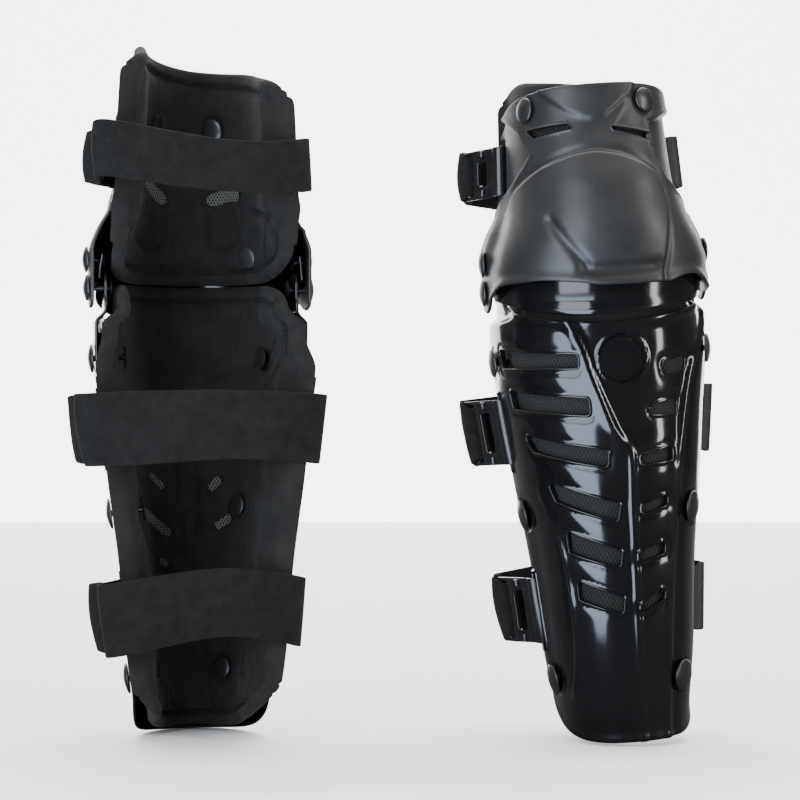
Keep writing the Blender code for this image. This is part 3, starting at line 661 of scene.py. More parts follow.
def slot_opening(point, strap):
    middle, half = (SLOT_BACK + SLOT_FRONT) / 2, (SLOT_BACK - SLOT_FRONT) / 2

    def away(a, z):
        side = box_away(point(a, z)[..., 1], z, middle, half, strap["z"], strap["slot"] / 2, 0.0016)
        return np.where(np.abs(a) > 40, side, 0.05)

    return Opening(away, 0.0015, bead_rim(0.0016, 0.0011, SHELL))


def seat(chart, a, z, angle, height, radius):
    """A shallow round seat under a rivet head, 1 inside and 0 outside."""
    return ease(radius + 0.0014, radius, np.hypot(chart(a, z) - chart(angle, height), z - height))


def ear_away(point, a, z, radius):
    """Distance inside the round ear on the pivot line and the neck below or above it."""
    y = point(a, z)[..., 1] - PIVOT_Y
    return np.where(np.abs(a) > 45, radius - np.hypot(y, z - PIVOT_Z), -0.03), radius - np.abs(y)


def shin_edges(a, z):
    u = np.abs(a) / 90
    top = 0.2975 + 0.020 * np.minimum(u / 0.75, 1) ** 1.5 - z
    ear, neck = ear_away(shin_point, a, z, EAR_RADIUS)
    neck = np.where(np.abs(a) > 45, np.minimum(neck, PIVOT_Z - z), -0.03)
    body = either(top, np.maximum(ear, neck), 0.006)
    side = SHIN_CHART(90, z) - np.abs(SHIN_CHART(a, z))
    return both(both(body, side, 0.005), z - 0.030 * u ** 3, 0.014) - 0.0012


VENT_OPENINGS = [outline_opening(SHIN_CHART, vent, 0.0022, 0.0020, bead_rim(0.0020, 0.0008, 0.0034))
                 for vent in VENTS]
SHIN_OPENINGS = VENT_OPENINGS + [slot_opening(shin_point, s) for s in STRAPS.values() if not s["knee"]]


def shin_height(a, z):
    """How far the shin shell's skin stands out from its plain surface."""
    s = SHIN_CHART(a, z)
    left = s - SHIN_CHART(smooth(PANEL_LEFT, z), z)
    right = SHIN_CHART(smooth(PANEL_RIGHT, z), z) - s
    high = ease(0.200, 0.225, z)
    h = -(0.0004 + 0.0026 * high) * ease(-0.0015, 0.0050, left) * ease(-0.0015, 0.0045, right)
    h = h + 0.0013 * bell(left + 0.0012, 0.0046) * high
    h = h + 0.0015 * (1 - ease(0.0012, 0.0036, np.abs(left - 0.0036))) * ease(0.222, 0.200, z)
    h = h + 0.0009 * bell(right, 0.0036) - 0.0014 * bell(right + 0.0062, 0.0044)
    ridge = s - SHIN_CHART(smooth(SIDE_RIDGE, z), z)
    fade = ease(0.024, 0.050, z) * ease(0.190, 0.160, z)
    h = h - 0.0026 * ease(0.0004, -0.0040, ridge) * fade * ease(-84, -62, a)
    h = h + 0.0008 * bell(ridge - 0.0005, 0.0018) * fade
    near = np.min([o.away(a, z) for o in VENT_OPENINGS], axis=0)
    h = h - 0.0008 * bell(near - 0.0010, 0.0040)
    q = np.hypot(s - SHIN_CHART(1.0, BADGE_Z), z - BADGE_Z)
    h = h * ease(0.0150, 0.0190, q) - 0.0024 * ease(0.0175, 0.0163, q) + 0.0007 * bell(q - 0.0182, 0.0012)
    for height, outer, inner, head in SHIN_RIVETS.values():
        for angle in (-outer, inner):
            h = h - 0.0008 * seat(SHIN_CHART, a, z, angle, height, head + 0.0008)
    top = 0.2975 + 0.020 * np.minimum(np.abs(a) / 67.5, 1) ** 1.5
    h = h + 0.0018 * ease(0.009, 0.001, top - z) * ease(62, 50, np.abs(a))
    return h + 0.0010 * ease(0.008, 0.001, z - 0.030 * (np.abs(a) / 90) ** 3)


def raised(point, height):
    """A surface whose skin stands out by height, and the same one inset by a thickness."""

    def outer(a, z):
        return point(a, z) + normals(point, a, z) * height(a, z)[..., None]

    def inner(a, z):
        return point(a, z) + normals(point, a, z) * (height(a, z) - SHELL)[..., None]

    return outer, inner


def shin_shell(guard):
    outer, inner = raised(shin_point, shin_height)
    verts, faces = sheet_mesh(outer, inner, wrap_columns(92, 0.0776), grid_rows(-0.002, 0.3425), shin_edges,
                              SHIN_OPENINGS, round_rim(1.0), SHIN_CHART)
    guard.piece("shin_shell", verts, faces, LOOKS["gloss"], "shin", "gloss_black_plastic", ["shin_shell"])


def knee_edges(a, z):
    u = np.abs(a) / 90
    ear, neck = ear_away(knee_point, a, z, 0.0145)
    neck = np.where(np.abs(a) > 45, np.minimum(neck, z - PIVOT_Z), -0.03)
    body = either(z - smooth(KNEE_EDGE, a), np.maximum(ear, neck), 0.006)
    side = KNEE_CHART(90, z) - np.abs(KNEE_CHART(a, z))
    top = 0.4650 - 0.020 * u ** 4 - 0.008 * u ** 2 - z
    return both(both(body, side, 0.005), top, 0.012) - 0.0012


KNEE_OPENINGS = [outline_opening(KNEE_CHART, v, 0.0008, 0.0014, bead_rim(0.0014, 0.0006, 0.0030))
                 for v in THIGH_SLOTS] + [slot_opening(knee_point, STRAPS["upper"])]
DOME_CORNERS = KNEE_CHART.corners(DOME)
TONGUE_CORNERS = KNEE_CHART.corners(TONGUE)
PLATE_CORNERS = [KNEE_CHART.corners(p) for p in SIDE_PLATES]


def knee_height(a, z):
    """How far the knee shell's skin stands out from its plain surface."""
    s = KNEE_CHART(a, z)
    dome = polygon_distance(DOME_CORNERS, s, z)
    fade = ease(-66, -44, a)
    h = 0.0030 * ease(0.0006, -0.0032, dome) * fade - 0.0012 * bell(dome - 0.0018, 0.0022) * fade
    crease = line_distance(KNEE_CHART.corners([(-22, 0.3700), (-17, 0.3555), (-11, 0.3385)]), s, z)
    h = h - 0.0024 * bell(crease, 0.0034)
    wide = ease(-15, -10, a) * ease(17, 13, a)
    h = h - 0.0034 * bell(z - 0.3345, 0.0042) * wide
    edge = z - smooth(KNEE_EDGE, a)
    h = h + 0.0020 * ease(0.0075, 0.0010, edge) * ease(75, 60, np.abs(a))
    h = h + 0.0012 * bell(edge - 0.0035, 0.0030) * wide
    h = h + 0.0024 * ease(0.0006, -0.0018, polygon_distance(TONGUE_CORNERS, s, z))
    ridge = line_distance(KNEE_CHART.corners([(15, 0.4600), (9, 0.4464), (4, 0.4360)]), s, z)
    h = h + 0.0009 * bell(ridge, 0.0018)
    for corners in PLATE_CORNERS:
        h = h - 0.0036 * ease(0.0012, -0.0022, polygon_distance(corners, s, z)) * ease(92, 78, np.abs(a))
        h = h + 0.0007 * bell(polygon_distance(corners, s, z) - 0.0018, 0.0018)
    height, outer, inner, head = THIGH_RIVET
    for angle in (-outer, inner):
        h = h - 0.0009 * seat(KNEE_CHART, a, z, angle, height, head + 0.0006)
    return h * ease(0.3120, 0.3300, z + 0.02 * ease(60, 40, np.abs(a)))


def knee_shell(guard):
    outer, inner = raised(knee_point, knee_height)
    verts, faces = sheet_mesh(outer, inner, wrap_columns(92, 0.0840), grid_rows(0.3100, 0.4680), knee_edges,
                              KNEE_OPENINGS, round_rim(1.0), KNEE_CHART)
    guard.piece("knee_shell", verts, faces, LOOKS["satin"], "knee", "satin_grey_plastic", ["knee_shell"])


def band_side():
    """The band's outline seen from the side: (forward, up) from the pivot line."""
    reach, guide = 0.13, GUIDE_RADIUS + 0.0062
    outline = [(reach * math.cos(BAND_LOW), reach * math.sin(BAND_LOW)), (reach, 0.04),
               (reach * math.cos(BAND_HIGH), reach * math.sin(BAND_HIGH)), (0.036, 0.036)]
    outline += [(guide * math.cos(math.radians(t)), guide * math.sin(math.radians(t)))
                for t in (60, 80, 100, 120)]
    outline.append((-0.0105, 0.0130))
    ear = [math.radians(t) for t in range(160, 331, 10)]
    return outline + [(EAR_RADIUS * math.cos(t), EAR_RADIUS * math.sin(t)) for t in ear]


def knee_band(guard):
    side = band_side()

    def edges(a, w):
        x, y = section(BAND_WIDTH, BAND_RADIUS, BAND_ROUNDNESS, a)
        forward, up = -y * np.cos(w / BAND_RADIUS), -y * np.sin(w / BAND_RADIUS)
        trimmed = -polygon_distance(side, forward, up) - 0.0009
        return np.minimum(trimmed, np.hypot(forward, up) - 0.0040)

    def height(a, w):
        low = w - BAND_RADIUS * BAND_LOW
        return 0.0014 * ease(0.0080, 0.0020, low) * ease(60, 40, np.abs(a))

    def outer(a, w):
        return band_point(a, w) + normals(band_point, a, w) * height(a, w)[..., None]

    def inner(a, w):
        return band_point(a, w, BAND_THICK) + normals(band_point, a, w) * height(a, w)[..., None]

    verts, faces = sheet_mesh(outer, inner, wrap_columns(87, BAND_WIDTH), grid_rows(-0.055, 0.24), edges, [],
                              round_rim(1.0, 3), BAND_CHART)
    guard.piece("knee_band", verts, faces, LOOKS["gloss"], "band", "gloss_black_plastic", ["knee_band"])


def vent_nets(guard):
    """The mesh sheets behind the vents, slightly slack between their seams; their dark colour is partly the
    mesh's own black and partly painted shade inside the vents.
    """
    for name, point, chart, reach, low, high, body in (
            ("shin_mesh", shin_point, SHIN_CHART, 58, 0.070, 0.288, "shin"),
            ("knee_mesh", knee_point, KNEE_CHART, 40, 0.415, 0.445, "knee")):
        columns, rows = np.linspace(-reach, reach, 61), grid_rows(low, high, 0.003)
        a, z = (g.ravel() for g in np.meshgrid(columns, rows, indexing="ij"))
        slack = 0.0010 * np.sin(z * 190) * np.cos(np.radians(a) * 9)
        skins = [point(a, z, MESH_INSET + 0.0006), point(a, z, MESH_INSET + 0.0012)]
        skins = [skin + normals(point, a, z) * (slack * 0.4)[:, None] for skin in skins]
        verts, faces = grid_solid(skins, len(columns), len(rows))
        flat = np.stack([chart(a, z), z], 1)
        guard.piece(name, verts, faces, LOOKS["shaded_vent_net"], body, "vent_mesh", [name],
                    np.concatenate([flat, flat]))


def grid_solid(skins, columns, rows):
    """A closed sheet from two grids of points, the outer one first."""
    n = columns * rows
    faces, rim = [], []
    for i in range(columns - 1):
        for j in range(rows - 1):
            quad = [i * rows + j, (i + 1) * rows + j, (i + 1) * rows + j + 1, i * rows + j + 1]
            faces += [quad, [v + n for v in reversed(quad)]]
    rim += [i * rows for i in range(columns - 1)] + [(columns - 1) * rows + j for j in range(rows - 1)]
    rim += [i * rows + rows - 1 for i in range(columns - 1, 0, -1)] + list(range(rows - 1, 0, -1))
    for p, q in zip(rim, rim[1:] + rim[:1]):
        faces.append([q, p, p + n, q + n])
    return np.concatenate(skins), faces


# ---------------------------------------------------------------- rivets and badge

def head_profile(head, dome):
    """A rivet's head from its base to its top: a rolled edge, a shallow step and a low dome."""
    shape = [(0.0, 0.90), (0.06, 0.985), (0.20, 1.0), (0.38, 0.975), (0.50, 0.92), (0.56, 0.84), (0.66, 0.74),
             (0.80, 0.56), (0.92, 0.35), (1.0, 0.10)]
    return [(dome * h, head * r) for h, r in shape]


def rivet(guard, name, place, normal, head, body, foot=0.0085):
    """A rivet with a head outside and a button on the leg's side, as long as its CAD node."""
    node = f"{guard.side}_{name}"
    points = np.array([v.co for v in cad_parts[node].data.vertices])
    base, tip = guard.world([place, place + normal])
    along = (points - base) @ (tip - base)
    top, bottom = along.max(), along.min()
    outer = [(0.0003 + h, r) for h, r in head_profile(head, max(top - 0.0003, 0.002))]
    shank = [(bottom + 0.0016, 0.0022), (0.0002, 0.0022)]
    button = [(bottom, foot * 0.25), (bottom + 0.0001, foot * 0.62), (bottom + 0.0005, foot * 0.9),
              (bottom + 0.0010, foot), (bottom + 0.0015, foot * 0.97)]
    verts, faces = turned(button + shank + outer, place, normal)
    guard.piece(name, verts, faces, LOOKS["rivet"], body, "rivet_plastic", [name], crease=40)


def place_on(point, angle, z):
    a, h = np.array([float(angle)]), np.array([float(z)])
    return point(a, h)[0], normals(point, a, h)[0]


def rivets(guard):
    for name, (z, outer, inner, head) in SHIN_RIVETS.items():
        for angle, where in ((-outer, "outer"), (inner, "inner")):
            rivet(guard, f"shin_rivet_{name}_{where}", *place_on(shin_point, angle, z), head, "shin")
    z, outer, inner, head = THIGH_RIVET
    for angle, where in ((-outer, "outer"), (inner, "inner")):
        rivet(guard, f"thigh_rivet_{where}", *place_on(knee_point, angle, z), head, "knee")
    rest = math.radians(75.0)
    for sign, where in ((-1, "outer"), (1, "inner")):
        across = np.array([sign, 0.0, 0.0])
        line = np.array([sign * EAR_FACE, PIVOT_Y, PIVOT_Z])
        guide = line + np.array([0, -GUIDE_RADIUS * math.cos(rest), GUIDE_RADIUS * math.sin(rest)])
        rivet(guard, f"pivot_rivet_{where}", line, across, 0.0095, "shin", 0.0070)
        rivet(guard, f"guide_rivet_{where}", guide, across, 0.0095, "knee", 0.0070)


def badge(guard):
    """A blank round disc, slightly domed, sunk in the shin shell's recess."""
    place, normal = place_on(shin_point, 0, BADGE_Z)
    shape = [(-0.0014, 0.0140), (-0.0004, 0.0148), (0.0001, 0.0150), (0.0005, 0.0147), (0.0006, 0.0138),
             (0.0004, 0.0130), (0.0006, 0.0122), (0.0009, 0.0080), (0.0010, 0.0020)]
    verts, faces = turned(shape, place, normal, 64)
    guard.piece("badge", verts, faces, LOOKS["gloss"], "shin", "badge_plastic", ["badge"], crease=30)


# ---------------------------------------------------------------- pads

def pad_border(chart, low, high, corner):
    """Distance inside a pad's outline, whose lower and upper edges are given at each angle."""

    def inside(a, z):
        side = chart(89.5, z) - np.abs(chart(a, z))
        return both(both(side, high(a) - z, corner), z - low(a), corner) - 0.0022

    return inside


KNEE_PAD_CHART = Chart(lambda a, z: knee_pad_point(a, z, PAD_THICK), 0.325, 0.500)
SHIN_PAD_CHART = Chart(lambda a, z: shin_pad_point(a, z, PAD_THICK), -0.01, 0.345)


def capsule(chart, ends, width):
    corners = chart.corners(ends)
    return lambda a, z: line_distance(corners, chart(a, z), z) - width


# The snap button low on the knee pad: (angle, height).
KNEE_BUTTON = (35.0, 0.3530)

# How far the pads' side edges roll out over the shell: the right guard's are pressed in.
PAD_LIP = {"right": 0.25, "left": 1.0}

# The places of the pads' windows, seams and buttons come from the same scratch scripts.
# Mesh windows of the pads: run of (angle, height) and half width.
KNEE_WINDOWS = [([(-42, 0.4085), (-29, 0.4030), (-15, 0.3945)], 0.0040),
                ([(11, 0.3955), (24, 0.3990), (36, 0.3990)], 0.0044)]
SHIN_WINDOWS = [([(-25, 0.1905), (-15, 0.1800)], 0.0022),
                ([(12.5, 0.1785), (19.5, 0.1870)], 0.0028),
                ([(-38, 0.1660), (-25, 0.1560), (-12, 0.1450)], 0.0036),
                ([(17, 0.1505), (28, 0.1585)], 0.0028),
                ([(-22, 0.1270), (-15, 0.1225)], 0.0022)]
# The knee pad's two soft cups beside its middle rib.
KNEE_CUPS = [[(10, 0.3900), (33, 0.3930), (34, 0.3660), (20, 0.3570), (11, 0.3620)],
             [(-12, 0.3890), (-40, 0.4000), (-44, 0.3660), (-24, 0.3560), (-11, 0.3620)]]
# Seams of the pads: run of (angle, height), width and depth.
KNEE_SEAMS = [([(50, 0.3875), (64, 0.3840), (80, 0.3800)], 0.0016, 0.0016),
              ([(78, 0.3780), (55, 0.3475)], 0.0016, 0.0018),
              ([(-60, 0.3460), (-20, 0.3480), (20, 0.3450), (60, 0.3420)], 0.0014, 0.0012)]
SHIN_SEAMS = [([(8, 0.085), (9, 0.068), (15, 0.050), (17, 0.022)], 0.0018, 0.0018),
              ([(33, 0.085), (32, 0.068), (22, 0.050), (19.5, 0.030)], 0.0018, 0.0018),
              ([(-6, 0.205), (-5, 0.165), (-1, 0.120)], 0.0015, 0.0014),
              ([(6, 0.205), (7, 0.165), (3, 0.120)], 0.0015, 0.0014),
              ([(70, 0.292), (40, 0.270), (12, 0.262)], 0.0016, 0.0014),
              ([(76, 0.272), (45, 0.250), (14, 0.238)], 0.0016, 0.0014),
              ([(40, 0.318), (33, 0.300), (22, 0.280)], 0.0014, 0.0012),
              ([(-24, 0.100), (-22, 0.050), (-20, 0.022)], 0.0015, 0.0012),
              ([(60, 0.205), (42, 0.160), (36, 0.120)], 0.0015, 0.0012),
              ([(-60, 0.205), (-46, 0.175), (-40, 0.140)], 0.0015, 0.0010),
              ([(66, 0.080), (62, 0.045)], 0.0015, 0.0012)]


def quilting(chart, inside, windows, seams, studs, cups):
    """How far a pad's leg side swells out (positive) or is drawn in, from its seams and windows."""
    lines = [(chart.corners(run), width, depth) for run, width, depth in seams]
    holes = [capsule(chart, run, width) for run, width in windows]
    sunk = [chart.corners(c) for c in cups]

    def height(a, z):
        s, d = chart(a, z), inside(a, z)
        h = 0.0016 * ease(0.0, 0.016, d)
        h = h + 0.0009 * np.sin(s * 52 + 1.1) * np.cos(z * 43 + s * 18) * ease(0.01, 0.03, d)
        h = h + 0.0007 * np.sin(s * 131 + z * 70) * np.sin(z * 97 + 2.0) * ease(0.01, 0.02, d)
        h = h - 0.0030 * bell(d - 0.0066, 0.0015) - 0.0010 * bell(d - 0.0104, 0.0010)
        h = h + 0.0010 * bell(d - 0.0028, 0.0030)
        for corners, width, depth in lines:
            away = line_distance(corners, s, z)
            h = h - 1.6 * depth * bell(away, width) + 0.0008 * bell(away - 0.0045, 0.0030)
        for corners in sunk:
            away = polygon_distance(corners, s, z)
            h = h - 0.0050 * ease(0.0010, -0.0042, away) + 0.0008 * bell(away - 0.0025, 0.0020)
        for hole in holes:
            away = hole(a, z)
            h = h + 0.0008 * bell(away - 0.0020, 0.0016) - 0.0026 * ease(0.0008, -0.0006, away)
        for angle, middle in studs:
            q = np.hypot(s - chart(angle, middle), z - middle)
            h = h - 0.0026 * bell(q, 0.0135)
        return h

    return height, holes


def window_nets(guard, name, point, chart, windows, height, body):
    """Mesh patches set into a pad's windows."""
    verts, faces, flats, total = [], [], [], 0
    for run, width in windows:
        ends = np.array(run, float)
        shares = np.linspace(0, 1, 25)
        places = np.linspace(0, 1, len(ends))
        a, z = np.interp(shares, places, ends[:, 0]), np.interp(shares, places, ends[:, 1])
        per_degree = float(chart(a.mean() + 1, z.mean()) - chart(a.mean(), z.mean()))
        run_s = np.gradient(chart(a, z))
        across = unit(np.stack([-np.gradient(z), run_s], 1))
        reach = (width + 0.0006) * np.sqrt(np.maximum(1 - (2 * shares - 1) ** 6, 0.02))
        offsets = np.linspace(-1, 1, 7)
        aa = a[:, None] + across[:, :1] * reach[:, None] * offsets / per_degree
        zz = z[:, None] + across[:, 1:] * reach[:, None] * offsets
        aa, zz = aa.ravel(), zz.ravel()
        out = normals(point, aa, zz)
        lift = (height(aa, zz).max() - 0.0012)
        top = point(aa, zz) - out * lift
        skins = [top + out * 0.0006, top]
        v, f = grid_solid(skins, 25, 7)
        verts.append(v)
        faces += [[i + total for i in face] for face in f]
        flats += [np.stack([chart(aa, zz), zz], 1)] * 2
        total += len(v)
    guard.piece(name, np.concatenate(verts), faces, LOOKS["net"], body, "vent_mesh", (),
                np.concatenate(flats))


def stitches(guard, name, point, chart, inside, height, depths, body):
    """Rows of short thread stitches along a pad's border, found where inside equals each depth."""
    verts, faces, total = [], [], 0
    for depth in depths:
        run = border_run(chart, inside, depth)
        steps = np.hypot(np.diff(chart(run[:, 0], run[:, 1])), np.diff(run[:, 1]))
        length = np.concatenate([[0], np.cumsum(steps)])
        pitch, stitch = 0.0042, 0.0029
        for start in np.arange(0, length[-1] - pitch, pitch):
            at = np.linspace(start, start + stitch, 5)
            a, z = np.interp(at, length, run[:, 0]), np.interp(at, length, run[:, 1])
            out = normals(point, a, z)
            lift = height(a, z) + 0.00025 + 0.0003 * np.sin(np.linspace(0, math.pi, 5))
            middle = point(a, z) - out * lift[:, None]
            along = unit(np.gradient(middle, axis=0))
            side = np.cross(along, out)
            ring = [middle + 0.00028 * (side * math.cos(t) + out * math.sin(t))
                    for t in (0.3, 1.87, 3.44, 5.01)]
            v = np.stack(ring, 1).reshape(-1, 3)
            for k in range(4):
                for n in range(4):
                    m = (n + 1) % 4
                    first, second = total + k * 4, total + k * 4 + 4
                    faces.append([first + n, first + m, second + m, second + n])
            faces += [[total + n for n in range(4)][::-1], [total + 16 + n for n in range(4)]]
            verts.append(v)
            total += 20
    guard.piece(name, np.concatenate(verts), faces, LOOKS["strap"], body, "pad_fabric")


def border_run(chart, inside, depth):
    """Points (angle, height) round a pad's border at one distance from its edge."""
    turns = np.linspace(0, 2 * math.pi, 721)[:-1]
    middle_z = float(np.mean([chart.low + 0.02, chart.low + 60 * chart.step - 0.02]))
    run = []
    for t in turns:
        share = np.linspace(0, 1, 160)
        a, z = share * 95 * math.cos(t), middle_z + share * 0.20 * math.sin(t)
        d = inside(a, z)
        past = np.nonzero(d < depth)[0]
        k = past[0] if len(past) else 159
        k = max(k, 1)
        f = (d[k - 1] - depth) / max(d[k - 1] - d[k], 1e-9)
        run.append((a[k - 1] + (a[k] - a[k - 1]) * f, z[k - 1] + (z[k] - z[k - 1]) * f))
    return np.array(run + run[:1])


def pad(guard, name, point, chart, inside, windows, seams, studs, cups, rows, width, body):
    """A foam pad with a knitted cover: quilted leg side, plain shell side and a rolled edge."""
    height, holes = quilting(chart, inside, windows, seams, studs, cups)

    def lip(a, z):
        """The side edges run on past the shell's edge and roll outward over it, except by the ears."""
        share = ease(0.035, 0.060, np.abs(z - PIVOT_Z)) * 0.85 + 0.15
        share = share * PAD_LIP[guard.side]
        back, out = 0.013 * ease(60, 87, np.abs(a)), 0.0080 * ease(76, 91, np.abs(a))
        return np.stack([np.sign(a) * out * share, back * share, np.zeros_like(z)], -1)

    def shell_side(a, z):
        return point(a, z, 0.0006) + lip(a, z)

    def leg_side(a, z):
        return point(a, z, PAD_THICK) + lip(a, z) - normals(point, a, z) * height(a, z)[..., None]

    verts, faces = sheet_mesh(shell_side, leg_side, wrap_columns(89, width), rows, inside, [],
                              round_rim(0.85, 7), chart)
    obj = guard.piece(name, verts, faces, LOOKS["pad"], body, "pad_fabric", [name], crease=80)

    def base(a, z):
        return point(a, z, PAD_THICK)

    window_nets(guard, f"{name}_windows", base, chart, windows, height, body)
    stitches(guard, f"{name}_stitches", base, chart, inside, height, (0.0044, 0.0080), body)


def pads(guard):
    def knee_low(a):
        return 0.3345 + 0.020 * (np.abs(a) / 90) ** 4

    def knee_high(a):
        rise = 0.006 * np.maximum(0, -a / 90) - 0.010 * (np.abs(a) / 90) ** 5
        top = PAD_TOP[guard.side] - 0.012 * a / 90 + rise
        return top + (0.010 if guard.side == "left" else 0.0) * ease(-84, -55, a)

    def shin_low(a):
        return 0.006 + 0.022 * (np.abs(a) / 90) ** 3

    def shin_high(a):
        return 0.3300 - 0.014 * (np.abs(a) / 90) ** 5

    z, outer, inner, head = THIGH_RIVET
    pad(guard, "knee_pad", knee_pad_point, KNEE_PAD_CHART,
        pad_border(KNEE_PAD_CHART, knee_low, knee_high, 0.014), KNEE_WINDOWS, KNEE_SEAMS,
        [(-outer, z), (inner, z), KNEE_BUTTON], KNEE_CUPS, grid_rows(0.333, PAD_TOP[guard.side] + 0.02),
        0.0560, "knee")
    place = knee_pad_point(*np.array([[KNEE_BUTTON[0]], [KNEE_BUTTON[1]]]), PAD_THICK)[0]
    normal = place_on(knee_pad_point, *KNEE_BUTTON)[1]
    shape = [(-0.0020, 0.0040), (-0.0006, 0.0080), (0.0002, 0.0088), (0.0010, 0.0084), (0.0016, 0.0066),
             (0.0019, 0.0040), (0.0020, 0.0012)]
    verts, faces = turned(shape, place, -normal)
    guard.piece("knee_pad_button", verts, faces, LOOKS["button"], "knee", "rivet_plastic")
    studs = [(sign * angle, z) for z, outer, inner, head in SHIN_RIVETS.values()
             for sign, angle in ((-1, outer), (1, inner))]
    pad(guard, "shin_pad", shin_pad_point, SHIN_PAD_CHART,
        pad_border(SHIN_PAD_CHART, shin_low, shin_high, 0.020), SHIN_WINDOWS, SHIN_SEAMS, studs, [],
        grid_rows(0.004, 0.332), 0.0640, "shin")


# ---------------------------------------------------------------- straps and buckles

def slot_width(strap):
    return float(smooth(KNEE_WIDTH if strap["knee"] else SHIN_WIDTH, strap["z"]))


def bar_slope(strap):
    """How much the shell widens per metre of height along the bar of a slot."""
    widths, half = KNEE_WIDTH if strap["knee"] else SHIN_WIDTH, strap["slot"] / 2
    return float(smooth(widths, strap["z"] + half) - smooth(widths, strap["z"] - half)) / (2 * half)


def hook_line(strap):
    return np.array([-(slot_width(strap) - SHELL / 2), SLOT_BACK / 2, strap["z"]])


AWAY = np.array([-math.sin(BUCKLE_TILT), math.cos(BUCKLE_TILT)])
LEFT = np.array([-AWAY[1], AWAY[0]])


def strap_path(strap, askew=0.0):
    """The strap's run as rows of x, y, z, half height and lean, as in the CAD model."""
    width, z, sag, half = slot_width(strap), strap["z"], strap["sag"], strap["width"] / 2
    near, away = SHELL + STRAP_THICK / 2 + 0.0008, STRAP_THICK / 2 + 0.0008
    turn = [(width - near, 0.0010), (width - near, SLOT_BACK - 0.0010),
            (width - SHELL / 2, SLOT_BACK - 0.0028), (width + away, SLOT_BACK - 0.0010)]
    run = [(width + 0.0090, 0.0060), (width + 0.0120, 0.0180), (width * 0.72, 0.0330), (0.0, 0.0420)]
    slope, centre = bar_slope(strap), hook_line(strap)
    bar = [(0.0560, -0.0140, 1.0), (0.0445, -0.0045, 1.0), (0.0428, 0.0020, 0.97), (0.0410, 0.0062, 0.94),
           (0.0370, 0.0068, 0.88), (0.0330, 0.0052, 0.78), (0.0320, 0.0010, 0.78), (0.0335, -0.0035, 0.78)]
    points = [(x, y, z, half * 0.92, slope) for x, y in turn] + [(x, y, z, half, slope) for x, y in run[:2]]
    points += [(run[2][0], run[2][1], z + sag * 0.6 + askew * 0.4, half, slope / 2),
               (0.0, run[3][1], z + sag + askew, half, 0.0)]
    for forward, side, share in bar:
        x, y = centre[:2] + AWAY * forward + LEFT * side
        points.append((x, y, z + askew * (0.45 if forward > 0.05 else 0.0), half * share, -slope))
    return points


def curve_through(points, steps):
    """Rows of a smooth curve through the given ones, steps between each pair."""
    p = np.array(points, float)
    found = []
    for i in range(len(p) - 1):
        a, b, c, d = p[max(i - 1, 0)], p[i], p[i + 1], p[min(i + 2, len(p) - 1)]
        for t in np.arange(steps) / steps:
            found.append(0.5 * (2 * b + (c - a) * t + (2 * a - 5 * b + 4 * c - d) * t * t
                                + (3 * b - a - 3 * c + d) * t ** 3))
    return np.array(found + [p[-1]])


# The left guard's upper strap is pulled a little up on its buckle side.
ASKEW = {("left", "upper"): 0.011}


def strap_piece(guard, name, strap):
    """Elastic webbing: a thin ribbon with rounded selvedges that bows a little between its ends."""
    path = curve_through(strap_path(strap, ASKEW.get((guard.side, name), 0.0)), 14)
    places, half, lean = path[:, :3], path[:, 3], path[:, 4]
    ahead = np.gradient(places[:, :2], axis=0)
    side = unit(np.stack([ahead[:, 1], -ahead[:, 0], np.zeros(len(path))], 1))
    length = np.concatenate([[0], np.cumsum(np.linalg.norm(np.diff(places, axis=0), axis=1))])
    behind = ease(0.012, 0.030, places[:, 1])
    shares = np.sin(np.linspace(-math.pi / 2, math.pi / 2, 21))
    rows, flats = [], []
    for sign in (1, -1):
        for u in (shares if sign > 0 else shares[::-1]):
            thick = STRAP_THICK / 2 * math.sqrt(max(1 - max(0.0, (abs(u) - 0.95) / 0.05) ** 2, 0.0))
            bow = 0.0016 * (1 - u * u) * behind + 0.0009 * u * np.sin(length * 47 + strap["z"] * 40) * behind
            wave = 0.0007 * np.sin(length * 90 + u * 2.0) * behind
            up = half * u + 0.0008 * np.sin(length * 33 + u) * behind
            offset = side * (sign * thick + bow + wave)[:, None]
            rows.append(places + offset + np.stack([lean * up, np.zeros(len(up)), up], 1))
            flats.append(np.stack([length, half * u], 1))
    verts, uv = np.stack(rows, 1), np.stack(flats, 1)
    n = len(rows)
    faces = []
    for i in range(len(path) - 1):
        for k in range(n):
            m = (k + 1) % n
            faces.append([i * n + k, (i + 1) * n + k, (i + 1) * n + m, i * n + m])
    last = (len(path) - 1) * n
    faces += [list(range(n)), list(range(last, last + n))[::-1]]
    obj = guard.piece(f"{name}_strap", verts.reshape(-1, 3), faces, LOOKS["strap"], None, "elastic_strap",
                      [f"{name}_strap"], uv.reshape(-1, 2), crease=70)
    centre = hook_line(strap)
    ends = [np.append(centre[:2] + AWAY * f + LEFT * s, strap["z"])
            for f, s in ((0.072, -0.045), (0.046, -0.006))]
    start, end = guard.world(ends)
    guard.body("knee" if strap["knee"] else "shin")
    guard.body(f"{name}_buckle")
    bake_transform(obj)


def extruded(outline, low, high):
    """An upright prism round a closed outline of (x, y), ready to be bevelled."""
    n = len(outline)
    verts = [(x, y, low) for x, y in outline] + [(x, y, high) for x, y in outline]
    faces = [list(range(n))[::-1], list(range(n, 2 * n))]
    return verts, faces + [[k, (k + 1) % n, (k + 1) % n + n, k + n] for k in range(n)]


def solid(name, verts, faces):
    mesh = bpy.data.meshes.new(name)
    mesh.from_pydata([tuple(v) for v in verts], [], faces)
    bm = bmesh.new()
    bm.from_mesh(mesh)
    bmesh.ops.recalc_face_normals(bm, faces=bm.faces)
    bm.to_mesh(mesh)
    bm.free()
    obj = bpy.data.objects.new(name, mesh)
    bpy.context.collection.objects.link(obj)
    return obj


